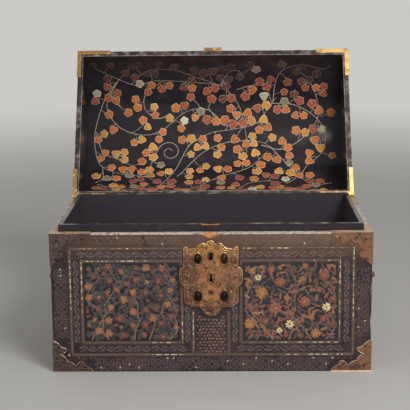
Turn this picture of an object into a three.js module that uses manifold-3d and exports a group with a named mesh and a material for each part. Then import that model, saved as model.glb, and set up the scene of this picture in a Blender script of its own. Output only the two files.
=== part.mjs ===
// Lacquer coffer with a barrel-vaulted lid, standing open.
// Millimetres. X runs along the front to the right, Y runs to the back, Z is up.
// The origin is the middle of the underside. The lid pieces are drawn as if the lid were shut,
// and the hasp as if it hung down over the lock: nested groups then turn them to where they stand.

import * as THREE from "three";
import { mergeVertices } from "three/addons/utils/BufferGeometryUtils.js";
import Module from "manifold-3d";

const wasm = await Module();
wasm.setup();

// Carcase: outer boards, and linings that stand up past them as the lip that the lid shuts over
const width = 450;
const depth = 257;
const height = 201;
const boardThickness = 11;
const liningThickness = 6;
const lipRise = 11;
const bottomThickness = 10;
const floorThickness = 3;
const fingersPerCorner = 5;
const boardGap = 0.1;
const thumbDipWidth = 25;
const thumbDipDepth = 1.6;

// Lid: an arc in section, a little less than a half circle
const lidRadius = 129.1;
const lidWall = 8.5;
const rimLift = 2.2;
const vaultSteps = 44;
const openAngle = 120;

// Sheet metal mounts on the corners
const mountThickness = 0.8;
const mountGap = 0.1;
const mountAlong = 57;
const mountDeep = 50;
const mountTall = 46;
const lidMountAlong = 54;
const lidMountDeep = 48;
const ledgeReturn = 9.6;
const rimReturn = 5.6;

// Strap hinges on the back
const hingeSpacing = 280;
const hingeWidth = 40;
const hingeKnuckles = 5;
const hingePinBack = 4;
const hingePinRise = 0.25;
const hingePinRadius = 1.3;
const hingeKnuckleRadius = 3;
const hingeBoreRadius = 1.6;
const chestLeafLength = 68;
const lidLeafLength = 58;
const leafThickness = 1.1;
const leafGap = 0.25;
const knuckleGap = 0.3;

// Lock plate and what it covers
const lockPlateThickness = 1.6;
const slotWidth = 5;
const slotHeight = 10.5;
const slotZ = 168;
const keyholeZ = 137.4;
const keyholeHeadRise = 3.6;
const keyholeHeadRadius = 2.1;
const keyholeFootHalf = 2.6;
const keyholeFootDrop = 5.6;
const keyPostRadius = 1.1;
const springHoleZ = 116.5;
const springHoleSize = 3.6;
const bossWidth = 9;
const bossHeight = 15;
const bossRise = 4.2;
const bossRimRise = 0.9;
const bossX = 18.5;
const bossUpperZ = 165;
const bossLowerZ = 111;
const caseWidth = 56;
const caseLowZ = 120;
const caseHighZ = 178;
const caseWall = 1.2;
const caseDepth = 10.2;
const caseInset = 0.4;
const railHeight = 2;
const railOverlap = 0.5;
const railLead = 0.6;

// Bolt of the lock, drawn unlocked; it runs to the right through the eye of the staple
const boltThickness = 2.5;
const boltFrontY = -126.2;
const boltBarHeight = 3;
const boltTipX = -3.5;
const boltTailX = -24;
const boltArmX = [-18, -10.7];
const boltFootX = -4;
const boltFootZ = [143, 159];
const boltNotchX = [-10.4, -5.8];
const boltNotchZ = 148;
const boltNotchLean = 0.8;
const railClearance = 0.3;
const springX = [-22, -5];
const springThickness = 0.7;
const springClearance = 0.9;

// Hasp, drawn hanging down over the lock plate
const haspPinY = -133.4;
const haspPinZ = 208.7;
const haspPinRadius = 1.4;
const haspBoreRadius = 1.7;
const haspKnuckleRadius = 3.2;
const haspLeafWidth = 30;
const haspKnuckleWidth = 13.4;
const haspWidth = 25;
const haspThickness = 1.6;
const haspInnerY = -131.2;
const haspTopDrop = 4.2;
const haspBottomZ = 149;
const haspFoldAngle = 197;
const haspLeafLength = 40;
const stapleWidth = 4;
const stapleHeight = 6.4;
const stapleTipY = -121.9;
const stapleRounding = 1.2;
const stapleHeadWidth = 7.6;
const stapleHeadHeight = 10.8;
const stapleHeadThickness = 0.9;
const stapleHeadRise = 0.7;
const eyeClearance = 0.5;

// Bail handles on the two ends
const handleSpan = 92;
const handleZ = 120;
const handleStandoff = 9;
const handleDrop = 42;
const handleMiddleRadius = 3.4;
const handleEndRadius = 2.3;
const handleBeadRadius = 3.5;
const handleBeadLength = 5;
const handleSwell = [0.12, 0.42];
const postWidth = 5;
const postEyeRadius = 4.8;
const postBoreRadius = 2.9;
const postFootHalf = 4.2;
const postNeckHalf = 2.9;
const rosetteRadius = 13;
const rosetteLobes = 8;

// Values that follow from the ones above
const halfWidth = width / 2;
const halfDepth = depth / 2;
const rimZ = height + rimLift;
const arcCentreZ = rimZ - Math.sqrt(lidRadius ** 2 - halfDepth ** 2);
const liningX = halfWidth - boardThickness;
const liningY = halfDepth - boardThickness;
const innerX = liningX - liningThickness;
const innerY = liningY - liningThickness;
const lipZ = height + lipRise;
const hingePinY = halfDepth + hingePinBack;
const hingePinZ = height + hingePinRise;
const lockPlateBackY = -halfDepth - mountGap;
const lockPlateFrontY = lockPlateBackY - lockPlateThickness;

const toRight = [1, 0, 0];
const toLeft = [-1, 0, 0];
const toBack = [0, 1, 0];
const toFront = [0, -1, 0];
const toTop = [0, 0, 1];
const toBottom = [0, 0, -1];

// Finishes
function finish(color, roughness, metalness) {
  return new THREE.MeshStandardMaterial({ color, roughness, metalness });
}
const decoratedLacquer = finish(0x3a2a22, 0.38, 0);
const roiroLacquer = finish(0x0b0a0d, 0.18, 0);
const giltCopper = finish(0x9a673c, 0.4, 0.9);
const brightGilt = finish(0xd2a860, 0.35, 0.95);
const darkCopper = finish(0x2b2523, 0.35, 0.8);
const lockIron = finish(0x3b3632, 0.6, 0.85);

const coffer = new THREE.Group();

function add(parent, name, geometry, material) {
  const mesh = new THREE.Mesh(geometry, material);
  mesh.name = name;
  parent.add(mesh);
}

// A closed mesh as a solid that can be joined and cut, and back again
function solidOf(geometry) {
  const bare = geometry.clone();
  bare.deleteAttribute("normal");
  bare.deleteAttribute("uv");
  const merged = mergeVertices(bare);
  return new wasm.Manifold(
    new wasm.Mesh({
      numProp: 3,
      vertProperties: merged.attributes.position.array,
      triVerts: new Uint32Array(merged.index.array),
    }),
  );
}

function geometryOf(solid) {
  const made = solid.getMesh();
  const geometry = new THREE.BufferGeometry();
  geometry.setAttribute("position", new THREE.BufferAttribute(made.vertProperties, 3));
  geometry.setIndex(new THREE.BufferAttribute(made.triVerts, 1));
  geometry.computeVertexNormals();
  return geometry;
}

function join(...geometries) {
  return geometryOf(geometries.map(solidOf).reduce((whole, next) => whole.add(next)));
}

function cut(geometry, ...tools) {
  return geometryOf(tools.map(solidOf).reduce((left, tool) => left.subtract(tool), solidOf(geometry)));
}

function common(first, second) {
  return geometryOf(solidOf(first).intersect(solidOf(second)));
}

// Swaps two corners of each triangle of a mesh that a mirrored placing has turned inside out
function turnFaces(geometry) {
  const p = geometry.attributes.position;
  for (let i = 0; i < p.count; i += 3) {
    const [x, y, z] = [p.getX(i + 1), p.getY(i + 1), p.getZ(i + 1)];
    p.setXYZ(i + 1, p.getX(i + 2), p.getY(i + 2), p.getZ(i + 2));
    p.setXYZ(i + 2, x, y, z);
  }
}

// An outline drawn along the directions u and v, and thickened along w
function plate(outline, thickness, origin, u, v, w, curveSegments = 5) {
  const options = { depth: thickness, bevelEnabled: false, curveSegments };
  const geometry = new THREE.ExtrudeGeometry(outline, options);
  const [du, dv, dw] = [u, v, w].map((d) => new THREE.Vector3(...d));
  const placing = new THREE.Matrix4().makeBasis(du, dv, dw).setPosition(...origin);
  geometry.applyMatrix4(placing);
  if (placing.determinant() < 0) turnFaces(geometry);
  return geometry;
}

function block([x0, x1], [y0, y1], [z0, z1]) {
  const box = new THREE.BoxGeometry(x1 - x0, y1 - y0, z1 - z0);
  return box.translate((x0 + x1) / 2, (y0 + y1) / 2, (z0 + z1) / 2);
}

function polygon(points) {
  return new THREE.Shape(points.map(([u, v]) => new THREE.Vector2(u, v)));
}

function rectangle(u0, u1, v0, v1) {
  return polygon([[u0, v0], [u1, v0], [u1, v1], [u0, v1]]);
}

function span(from, to, side) {
  return side > 0 ? [from, to] : [-to, -from];
}

// Outline of a carcase board with a comb of fingers at both ends.
// Boards whose parity is 0 have the fingers that the other two boards lack.
function combOutline(halfLength, parity) {
  const pitch = height / fingersPerCorner;
  const edge = [];
  for (let i = 0; i < fingersPerCorner; i++) {
    const isFinger = i % 2 === parity;
    const reach = isFinger ? halfLength : halfLength - boardThickness - boardGap;
    const shrink = isFinger ? boardGap / 2 : -boardGap / 2;
    const low = i === 0 ? 0 : i * pitch + shrink;
    const high = i === fingersPerCorner - 1 ? height : (i + 1) * pitch - shrink;
    edge.push([reach, low], [reach, high]);
  }
  const mirrored = edge.map(([u, v]) => [-u, v]).reverse();
  return polygon([...edge, ...mirrored]);
}

function makeCarcase(chest) {
  const front = combOutline(halfWidth, 0);
  const mortise = rectangle(
    -caseWidth / 2 - railClearance, caseWidth / 2 + railClearance,
    caseLowZ - railClearance, caseHighZ + railClearance,
  );
  front.holes.push(new THREE.Path(mortise.getPoints()));
  const frontBoard = plate(front, boardThickness, [0, -liningY, 0], toRight, toTop, toFront);
  add(chest, "front_board", frontBoard, decoratedLacquer);
  const back = plate(combOutline(halfWidth, 0), boardThickness, [0, liningY, 0], toRight, toTop, toBack);
  add(chest, "back_board", back, decoratedLacquer);
  const right = plate(combOutline(halfDepth, 1), boardThickness, [liningX, 0, 0], toBack, toTop, toRight);
  add(chest, "right_board", right, decoratedLacquer);
  const left = plate(combOutline(halfDepth, 1), boardThickness, [-liningX, 0, 0], toBack, toTop, toLeft);
  add(chest, "left_board", left, decoratedLacquer);
  const bottomX = liningX - boardGap;
  const bottomY = liningY - boardGap;
  const bottom = block([-bottomX, bottomX], [-bottomY, bottomY], [0, bottomThickness]);
  add(chest, "bottom_board", bottom, decoratedLacquer);
}

// The front lining has a shallow worn dip in the middle of its top edge
function frontLiningOutline() {
  const end = liningX - boardGap;
  const s = new THREE.Shape();
  s.moveTo(-end, bottomThickness + boardGap);
  s.lineTo(end, bottomThickness + boardGap);
  s.lineTo(end, lipZ);
  s.lineTo(thumbDipWidth / 2, lipZ);
  s.quadraticCurveTo(0, lipZ - 2 * thumbDipDepth, -thumbDipWidth / 2, lipZ);
  s.lineTo(-end, lipZ);
  return s;
}

function makeLinings(chest) {
  const thickness = liningThickness - boardGap;
  const front = plate(frontLiningOutline(), thickness, [0, -innerY, 0], toRight, toTop, toFront);
  add(chest, "front_lining", front, roiroLacquer);
  const tall = [bottomThickness + boardGap, lipZ];
  const endX = liningX - boardGap;
  const back = block([-endX, endX], [innerY, innerY + thickness], tall);
  add(chest, "back_lining", back, roiroLacquer);
  const endY = innerY - boardGap;
  add(chest, "right_lining", block([innerX, endX], [-endY, endY], tall), roiroLacquer);
  add(chest, "left_lining", block([-endX, -innerX], [-endY, endY], tall), roiroLacquer);
  const floorX = innerX - boardGap;
  const floorZ = bottomThickness + boardGap;
  const floor = block([-floorX, floorX], [-endY, endY], [floorZ, floorZ + floorThickness]);
  add(chest, "floor_lining", floor, roiroLacquer);
}

// Cloud-scroll outline of a corner mount: two lobed arms and a rounded middle between two notches.
// margin is how far the sheet runs on past the corner, round the neighbouring face.
function cloudOutline(along, tall, margin) {
  const half = [
    [1, 0, 0.93, 0.13, 0.86, 0.16],
    [0.86, 0.16, 0.78, 0.18, 0.75, 0.33],
    [0.75, 0.33, 0.63, 0.37, 0.56, 0.18],
    [0.56, 0.18, 0.48, 0.33, 0.34, 0.34],
  ];
  const s = new THREE.Shape();
  s.moveTo(-margin, 0);
  s.lineTo(along, 0);
  for (const [, , cu, cv, eu, ev] of half) {
    s.quadraticCurveTo(cu * along, cv * tall, eu * along, ev * tall);
  }
  for (const [su, sv, cu, cv] of half.reverse()) {
    s.quadraticCurveTo(cv * along, cu * tall, sv * along, su * tall);
  }
  s.lineTo(-margin, tall);
  return s;
}

// One corner mount of the chest: a plate on the long face, one on the end and, at the top,
// two strips turned over onto the ledge
function cornerMount(sideX, sideY, upper) {
  const margin = mountGap + mountThickness;
  const inX = sideX > 0 ? toLeft : toRight;
  const outX = sideX > 0 ? toRight : toLeft;
  const inY = sideY > 0 ? toFront : toBack;
  const outY = sideY > 0 ? toBack : toFront;
  const cornerX = sideX * halfWidth;
  const cornerY = sideY * halfDepth;
  const z = upper ? height + margin : mountGap;
  const run = upper ? toBottom : toTop;
  const faceOrigin = [cornerX, cornerY + sideY * mountGap, z];
  const endOrigin = [cornerX + sideX * mountGap, cornerY, z];
  const faceCloud = cloudOutline(mountAlong, mountTall, margin);
  const endCloud = cloudOutline(mountDeep, mountTall, margin);
  const face = plate(faceCloud, mountThickness, faceOrigin, inX, run, outY, 4);
  const end = plate(endCloud, mountThickness, endOrigin, inY, run, outX, 4);
  if (!upper) return join(face, end);
  const sheet = [height + mountGap, height + margin];
  const faceStrip = block(
    span(halfWidth - mountAlong, halfWidth + margin, sideX),
    span(halfDepth - ledgeReturn, halfDepth + margin, sideY),
    sheet,
  );
  const endStrip = block(
    span(halfWidth - ledgeReturn, halfWidth + margin, sideX),
    span(halfDepth - mountDeep, halfDepth + margin, sideY),
    sheet,
  );
  return join(face, end, faceStrip, endStrip);
}

function makeCornerMounts(chest) {
  for (const [depthName, sideY] of [["front", -1], ["back", 1]]) {
    for (const [sideName, sideX] of [["left", -1], ["right", 1]]) {
      for (const level of ["upper", "lower"]) {
        const name = `corner_mount_${depthName}_${sideName}_${level}`;
        add(chest, name, cornerMount(sideX, sideY, level === "upper"), giltCopper);
      }
    }
  }
}

// Right half of the lock plate's edge, from the loop at the top to the pendant at the bottom.
// Each row is the control point and the end point of one curve.
const lockPlateEdge = [
  [4.6, 190.6, 5.4, 186.2],
  [7.6, 184.2, 8.6, 186],
  [12.6, 188.8, 16.4, 184.6],
  [19.4, 180, 23, 179.4],
  [29.5, 179.6, 31.6, 177.8],
  [32.4, 182.4, 36.2, 181.8],
  [39.4, 180.4, 38, 176],
  [37.8, 166, 38, 153],
  [42.4, 152.4, 43.6, 147.4],
  [45, 139, 43.4, 131.4],
  [42, 127.4, 38, 126],
  [37.8, 114, 38, 103.6],
  [36.6, 99, 31.2, 98.2],
  [29.6, 95.4, 27, 95.6],
  [21, 96, 15.4, 95.4],
  [12.6, 92.6, 11.4, 88],
  [7.8, 83.4, 0, 82.4],
];

function lockPlateOutline() {
  const s = new THREE.Shape();
  s.moveTo(0, 190.4);
  for (const [cu, cv, eu, ev] of lockPlateEdge) s.quadraticCurveTo(cu, cv, eu, ev);
  const starts = [[0, 190.4], ...lockPlateEdge.map(([, , eu, ev]) => [eu, ev])];
  for (let i = lockPlateEdge.length - 1; i >= 0; i--) {
    const [cu, cv] = lockPlateEdge[i];
    s.quadraticCurveTo(-cu, cv, -starts[i][0], starts[i][1]);
  }
  return s;
}

// Keyhole: a round head over a flared foot
function keyholeOutline() {
  const hole = new THREE.Path();
  const flare = 0.9;
  hole.moveTo(-keyholeFootHalf, keyholeZ - keyholeFootDrop);
  hole.lineTo(keyholeFootHalf, keyholeZ - keyholeFootDrop);
  hole.absarc(0, keyholeZ + keyholeHeadRise, keyholeHeadRadius, -flare, Math.PI + flare, false);
  hole.closePath();
  return hole;
}

// The bolt's bar, with an arm down to the notched foot that the key pushes along
function boltOutline() {
  const low = slotZ - boltBarHeight / 2;
  const high = slotZ + boltBarHeight / 2;
  const [armLeft, armRight] = boltArmX;
  const [footLow, footHigh] = boltFootZ;
  const [notchLeft, notchRight] = boltNotchX;
  const notch = [
    [notchLeft, footLow], [notchLeft + boltNotchLean, boltNotchZ],
    [notchRight - boltNotchLean, boltNotchZ], [notchRight, footLow],
  ];
  return polygon([
    [boltTailX, low], [armLeft, low], [armLeft, footLow], ...notch,
    [boltFootX, footLow], [boltFootX, footHigh], [armRight, footHigh], [armRight, low],
    [boltTipX - 1, low], [boltTipX, low + 0.8], [boltTipX, high - 0.8], [boltTipX - 1, high],
    [boltTailX, high],
  ]);
}

// Bowed strip over the bolt: it hangs from the roof of the case and keeps the bolt from creeping
function springOutline() {
  const roof = caseHighZ - caseWall - railClearance;
  const drop = roof - slotZ - boltBarHeight / 2 - springClearance;
  const [startX, endX] = springX;
  const steps = 14;
  const upperEdge = [];
  for (let i = 0; i <= steps; i++) {
    const t = i / steps;
    upperEdge.push([startX + (endX - startX) * t, roof - drop * Math.sin(Math.PI * t) ** 2]);
  }
  const lowerEdge = upperEdge.map(([u, v]) => [u, v - springThickness]).reverse();
  return polygon([...upperEdge, ...lowerEdge].reverse());
}

// Iron box in the mortise of the front board, open to the lock plate, with the rails of the bolt
// and the post that a pipe key turns on
function lockCase() {
  const frontY = lockPlateBackY + caseInset;
  const backY = frontY + caseDepth;
  const innerBackY = backY - caseWall;
  const half = caseWidth / 2;
  const box = block([-half, half], [frontY, backY], [caseLowZ, caseHighZ]);
  const hollow = block(
    [-half + caseWall, half - caseWall],
    [frontY - 1, innerBackY],
    [caseLowZ + caseWall, caseHighZ - caseWall],
  );
  const shell = cut(box, hollow);
  const rootY = innerBackY + railOverlap;
  const railY = [boltFrontY - railLead, rootY];
  const seatY = [boltFrontY + boltThickness + railClearance, rootY];
  const high = slotZ + boltBarHeight / 2 + railClearance;
  const low = slotZ - boltBarHeight / 2 - railClearance;
  const above = [high, high + railHeight];
  const below = [low - railHeight, low];
  const wallX = -half + caseWall + 0.4;
  const farX = [2.9, 9];
  const rails = [
    block([wallX, boltTailX + 1.4], railY, above),
    block([-5.6, boltFootX], railY, above),
    block([wallX, boltArmX[0] - 0.6], railY, below),
    block(farX, railY, below),
    block(farX, railY, above),
  ];
  const seats = [
    block([wallX, -20], seatY, [low - 1, high + 1]),
    block([-17.6, -4.6], seatY, [150, 157]),
  ];
  const postShape = new THREE.Shape();
  postShape.absarc(0, keyholeZ + keyholeHeadRise, keyPostRadius, 0, 2 * Math.PI, false);
  const postLength = rootY - frontY - 1.1;
  const post = plate(postShape, postLength, [0, rootY, 0], toRight, toTop, toFront, 8);
  return join(shell, ...rails, ...seats, post);
}

// Oval domed boss on a thin flat rim, turned as a round one and stretched
function boss() {
  const r = bossWidth / 2;
  const domeRadius = 0.86 * r;
  const steps = 5;
  const profile = [[0, 0], [r, 0], [r, 0.5], [r * 0.93, bossRimRise]];
  for (let i = 1; i <= steps; i++) {
    const a = (i / steps) * (Math.PI / 2);
    const across = i < steps ? domeRadius * Math.cos(a * 0.98) : 0;
    profile.push([across, bossRimRise + (bossRise - bossRimRise) * Math.sin(a)]);
  }
  const turned = new THREE.LatheGeometry(profile.map(([u, v]) => new THREE.Vector2(u, v)), 16);
  turned.scale(1, 1, bossHeight / bossWidth);
  turned.rotateX(Math.PI);
  return turned;
}

function makeLock(chest, bolt) {
  const outline = lockPlateOutline();
  const slotHalf = slotHeight / 2;
  outline.holes.push(new THREE.Path(
    rectangle(-slotWidth / 2, slotWidth / 2, slotZ - slotHalf, slotZ + slotHalf).getPoints(),
  ));
  outline.holes.push(keyholeOutline());
  const small = springHoleSize / 2;
  outline.holes.push(new THREE.Path(
    rectangle(-small, small, springHoleZ - small, springHoleZ + small).getPoints(),
  ));
  const sheet = plate(outline, lockPlateThickness, [0, lockPlateBackY, 0], toRight, toTop, toFront, 4);
  add(chest, "lock_plate", sheet, giltCopper);
  for (const [sideName, sideX] of [["left", -1], ["right", 1]]) {
    for (const [levelName, z] of [["upper", bossUpperZ], ["lower", bossLowerZ]]) {
      const dome = boss();
      dome.translate(sideX * bossX, lockPlateFrontY - mountGap, z);
      add(chest, `lock_boss_${levelName}_${sideName}`, dome, darkCopper);
    }
  }
  add(chest, "lock_case", lockCase(), lockIron);
  const springY = boltFrontY + boltThickness;
  const bow = plate(springOutline(), boltThickness, [0, springY, 0], toRight, toTop, toFront);
  add(chest, "bolt_spring", bow, lockIron);
  const bar = plate(boltOutline(), boltThickness, [0, springY, 0], toRight, toTop, toFront);
  add(bolt, "lock_bolt", bar, lockIron);
}

// Part of a tube along X, for the knuckles of a hinge
function barrel([x0, x1], centreY, centreZ, radius) {
  const circle = new THREE.Shape().absarc(0, 0, radius, 0, 2 * Math.PI, false);
  return plate(circle, x1 - x0, [x0, centreY, centreZ], toBack, toTop, toRight, 9);
}

// Leaf of a strap hinge: straight sides, a waist, and a lobed end that comes to a point
function strapOutline(leafWidth, length) {
  const w = leafWidth / 2;
  const half = [
    [w, 0.42, w, 0.5],
    [0.62 * w, 0.52, 0.6 * w, 0.6],
    [0.98 * w, 0.62, 0.88 * w, 0.76],
    [0.72 * w, 0.86, 0.34 * w, 0.86],
    [0.26 * w, 0.96, 0, 1],
  ];
  const s = new THREE.Shape();
  s.moveTo(-w, 0);
  s.lineTo(w, 0);
  for (const [cu, cv, eu, ev] of half) s.quadraticCurveTo(cu, cv * length, eu, ev * length);
  const starts = [[w, 0], ...half.map(([, , eu, ev]) => [eu, ev])];
  for (let i = half.length - 1; i >= 0; i--) {
    const [cu, cv] = half[i];
    s.quadraticCurveTo(-cu, cv * length, -starts[i][0], starts[i][1] * length);
  }
  return s;
}

// Section of the vault between two radii, cut off level at lowZ, as an outline over Y and Z
function archOutline(innerRadius, outerRadius, lowZ) {
  const rise = lowZ - arcCentreZ;
  const startOuter = Math.asin(rise / outerRadius);
  const startInner = Math.asin(rise / innerRadius);
  const points = [];
  for (let i = 0; i <= vaultSteps; i++) {
    const a = startOuter + (i / vaultSteps) * (Math.PI - 2 * startOuter);
    points.push([outerRadius * Math.cos(a), arcCentreZ + outerRadius * Math.sin(a)]);
  }
  for (let i = vaultSteps; i >= 0; i--) {
    const a = startInner + (i / vaultSteps) * (Math.PI - 2 * startInner);
    points.push([innerRadius * Math.cos(a), arcCentreZ + innerRadius * Math.sin(a)]);
  }
  return polygon(points);
}

function knuckleSpans(centreX, parity) {
  const pitch = hingeWidth / hingeKnuckles;
  const spans = [];
  for (let i = parity; i < hingeKnuckles; i += 2) {
    const start = centreX - hingeWidth / 2 + i * pitch;
    spans.push([start + knuckleGap / 2, start + pitch - knuckleGap / 2]);
  }
  return spans;
}

// Flat leaf on the back board, with the outer and middle knuckles
function chestHingeLeaf(centreX) {
  const topZ = hingePinZ - hingeKnuckleRadius - 0.6;
  const leafY = halfDepth + mountGap;
  const strap = strapOutline(hingeWidth, chestLeafLength);
  const leaf = plate(strap, leafThickness, [centreX, leafY, topZ], toRight, toBottom, toBack, 4);
  const pieces = [leaf];
  for (const along of knuckleSpans(centreX, 0)) {
    pieces.push(barrel(along, hingePinY, hingePinZ, hingeKnuckleRadius));
    pieces.push(block(along, [leafY, hingePinY], [topZ - 0.5, hingePinZ]));
  }
  const bore = barrel(
    [centreX - hingeWidth, centreX + hingeWidth], hingePinY, hingePinZ, hingeBoreRadius,
  );
  return cut(join(...pieces), bore);
}

// A leaf bent to the outside of the vault. The strap is drawn in elevation, then cut from an arched sheet.
// sideY is 1 on the back of the lid and -1 on its front.
function bentLeaf(outline, centreX, lowZ, sideY, thickness, gap) {
  const inner = lidRadius + gap;
  const sheet = plate(
    archOutline(inner, inner + thickness, rimZ), width,
    [-halfWidth, 0, 0], toBack, toTop, toRight,
  );
  const outward = sideY > 0 ? toBack : toFront;
  const stampOrigin = [centreX, sideY * 0.35 * halfDepth, lowZ];
  const stamp = plate(outline, halfDepth, stampOrigin, toRight, toTop, outward, 4);
  return common(sheet, stamp);
}

function lidHingeLeaf(centreX) {
  const lowZ = hingePinZ + hingeKnuckleRadius + 0.7;
  const strap = strapOutline(hingeWidth, lidLeafLength);
  const pieces = [bentLeaf(strap, centreX, lowZ, 1, leafThickness, leafGap)];
  for (const along of knuckleSpans(centreX, 1)) {
    pieces.push(barrel(along, hingePinY, hingePinZ, hingeKnuckleRadius));
    pieces.push(block(along, [halfDepth + 0.4, hingePinY], [hingePinZ, lowZ + 0.5]));
  }
  const bore = barrel(
    [centreX - hingeWidth, centreX + hingeWidth], hingePinY, hingePinZ, hingeBoreRadius,
  );
  return cut(join(...pieces), bore);
}

function makeHinges(chest, lid) {
  for (const [sideName, sideX] of [["left", -1], ["right", 1]]) {
    const centreX = (sideX * hingeSpacing) / 2;
    const half = hingeWidth / 2;
    add(chest, `hinge_leaf_chest_${sideName}`, chestHingeLeaf(centreX), giltCopper);
    const pin = barrel([centreX - half, centreX + half], hingePinY, hingePinZ, hingePinRadius);
    add(chest, `hinge_pin_${sideName}`, pin, darkCopper);
    add(lid, `hinge_leaf_lid_${sideName}`, lidHingeLeaf(centreX), giltCopper);
  }
}

function makeLidShell(lid) {
  const arch = archOutline(lidRadius - lidWall, lidRadius, rimZ);
  add(lid, "lid_vault", plate(arch, width, [-halfWidth, 0, 0], toBack, toTop, toRight), decoratedLacquer);
  const endRadius = lidRadius - lidWall - 0.3;
  const start = Math.asin((rimZ - arcCentreZ) / endRadius);
  const points = [];
  for (let i = 0; i <= vaultSteps; i++) {
    const a = start + (i / vaultSteps) * (Math.PI - 2 * start);
    points.push([endRadius * Math.cos(a), arcCentreZ + endRadius * Math.sin(a)]);
  }
  const endOutline = polygon(points);
  const reach = halfWidth - lidWall;
  const rightEnd = plate(endOutline, lidWall, [reach, 0, 0], toBack, toTop, toRight);
  const leftEnd = plate(endOutline, lidWall, [-reach, 0, 0], toBack, toTop, toLeft);
  add(lid, "lid_end_right", rightEnd, decoratedLacquer);
  add(lid, "lid_end_left", leftEnd, decoratedLacquer);
}

// The cloud outline on the end of the lid, leaned over so that its outer side follows the arc
function leaningCloud(along, tall, lowZ) {
  const outer = lidRadius + mountGap + mountThickness;
  const lean = (v) => outer - Math.sqrt(outer ** 2 - (lowZ + v - arcCentreZ) ** 2);
  const points = cloudOutline(along, tall, 0).getPoints(4).map((p) => [p.x, p.y]);
  const steps = 8;
  for (let i = steps - 1; i > 0; i--) points.push([0, (i / steps) * tall]);
  return polygon(points.map(([u, v]) => [u + lean(v), v]));
}

// One corner mount of the lid: a bent plate on the vault, a flat one on the end, and two strips on the rim
function lidMount(sideX, sideY) {
  const margin = mountGap + mountThickness;
  const lowZ = rimZ - margin;
  const outer = lidRadius + margin;
  const hair = 0.01;
  const tuck = 0.05;
  const sheet = plate(
    archOutline(lidRadius + mountGap, outer, lowZ), width + 2 * margin,
    [-halfWidth - margin, 0, 0], toBack, toTop, toRight,
  );
  const inX = sideX > 0 ? toLeft : toRight;
  const outX = sideX > 0 ? toRight : toLeft;
  const inY = sideY > 0 ? toFront : toBack;
  const outY = sideY > 0 ? toBack : toFront;
  const stamp = plate(
    cloudOutline(lidMountAlong, mountTall, margin + 1), halfDepth,
    [sideX * halfWidth, sideY * 0.4 * halfDepth, lowZ - hair], inX, toTop, outY, 4,
  );
  const onVault = common(sheet, stamp);
  const onEnd = plate(
    leaningCloud(lidMountDeep, mountTall, lowZ), mountThickness,
    [sideX * (halfWidth + mountGap), sideY * outer, lowZ], inY, toTop, outX, 4,
  );
  const level = [lowZ, rimZ - mountGap];
  const rimY = Math.sqrt(outer ** 2 - (lowZ - arcCentreZ) ** 2) - tuck;
  const alongX = block(
    span(halfWidth - lidMountAlong + 1, halfWidth + margin, sideX),
    span(halfDepth - rimReturn, rimY, sideY),
    level,
  );
  const alongY = block(
    span(halfWidth - rimReturn, halfWidth + margin, sideX),
    span(halfDepth - lidMountDeep + 1, rimY, sideY),
    level,
  );
  return join(onVault, onEnd, alongX, alongY);
}

function makeLidMounts(lid) {
  for (const [depthName, sideY] of [["front", -1], ["back", 1]]) {
    for (const [sideName, sideX] of [["left", -1], ["right", 1]]) {
      add(lid, `lid_mount_${depthName}_${sideName}`, lidMount(sideX, sideY), brightGilt);
    }
  }
}

// Leaf of the hasp's hinge, on the front of the vault, with its two outer knuckles
function haspLeaf() {
  const strap = strapOutline(haspLeafWidth, haspLeafLength);
  const neckHalf = 2.4;
  const pieces = [bentLeaf(strap, 0, rimZ + 0.6, -1, leafThickness, leafGap)];
  for (const side of [-1, 1]) {
    const along = span(haspKnuckleWidth / 2 + knuckleGap, haspLeafWidth / 2, side);
    pieces.push(barrel(along, haspPinY, haspPinZ, haspKnuckleRadius));
    pieces.push(block(along, [haspPinY, -halfDepth - 0.5], [haspPinZ - neckHalf, haspPinZ + neckHalf]));
  }
  const bore = barrel([-haspLeafWidth, haspLeafWidth], haspPinY, haspPinZ, haspBoreRadius);
  return cut(join(...pieces), bore);
}

// Hanging plate with a waisted, pointed end, its knuckle, and the slot that the staple is riveted in
function haspPlate() {
  const topZ = haspPinZ - haspTopDrop;
  const w = haspWidth / 2;
  const length = topZ - haspBottomZ;
  const outline = strapOutline(haspWidth, length);
  const play = 0.3;
  const slotLow = topZ - (slotZ + stapleHeight / 2 + play);
  outline.holes.push(new THREE.Path(rectangle(
    -stapleWidth / 2 - play, stapleWidth / 2 + play, slotLow, slotLow + stapleHeight + 2 * play,
  ).getPoints()));
  const sheet = plate(outline, haspThickness, [0, haspInnerY, topZ], toRight, toBottom, toFront, 4);
  const half = haspKnuckleWidth / 2;
  const neck = block([-half, half], [haspInnerY - haspThickness, haspInnerY], [topZ - 1, haspPinZ]);
  const knuckle = barrel([-half, half], haspPinY, haspPinZ, haspKnuckleRadius);
  const bore = barrel([-w, w], haspPinY, haspPinZ, haspBoreRadius);
  return cut(join(sheet, neck, knuckle), bore);
}

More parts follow.
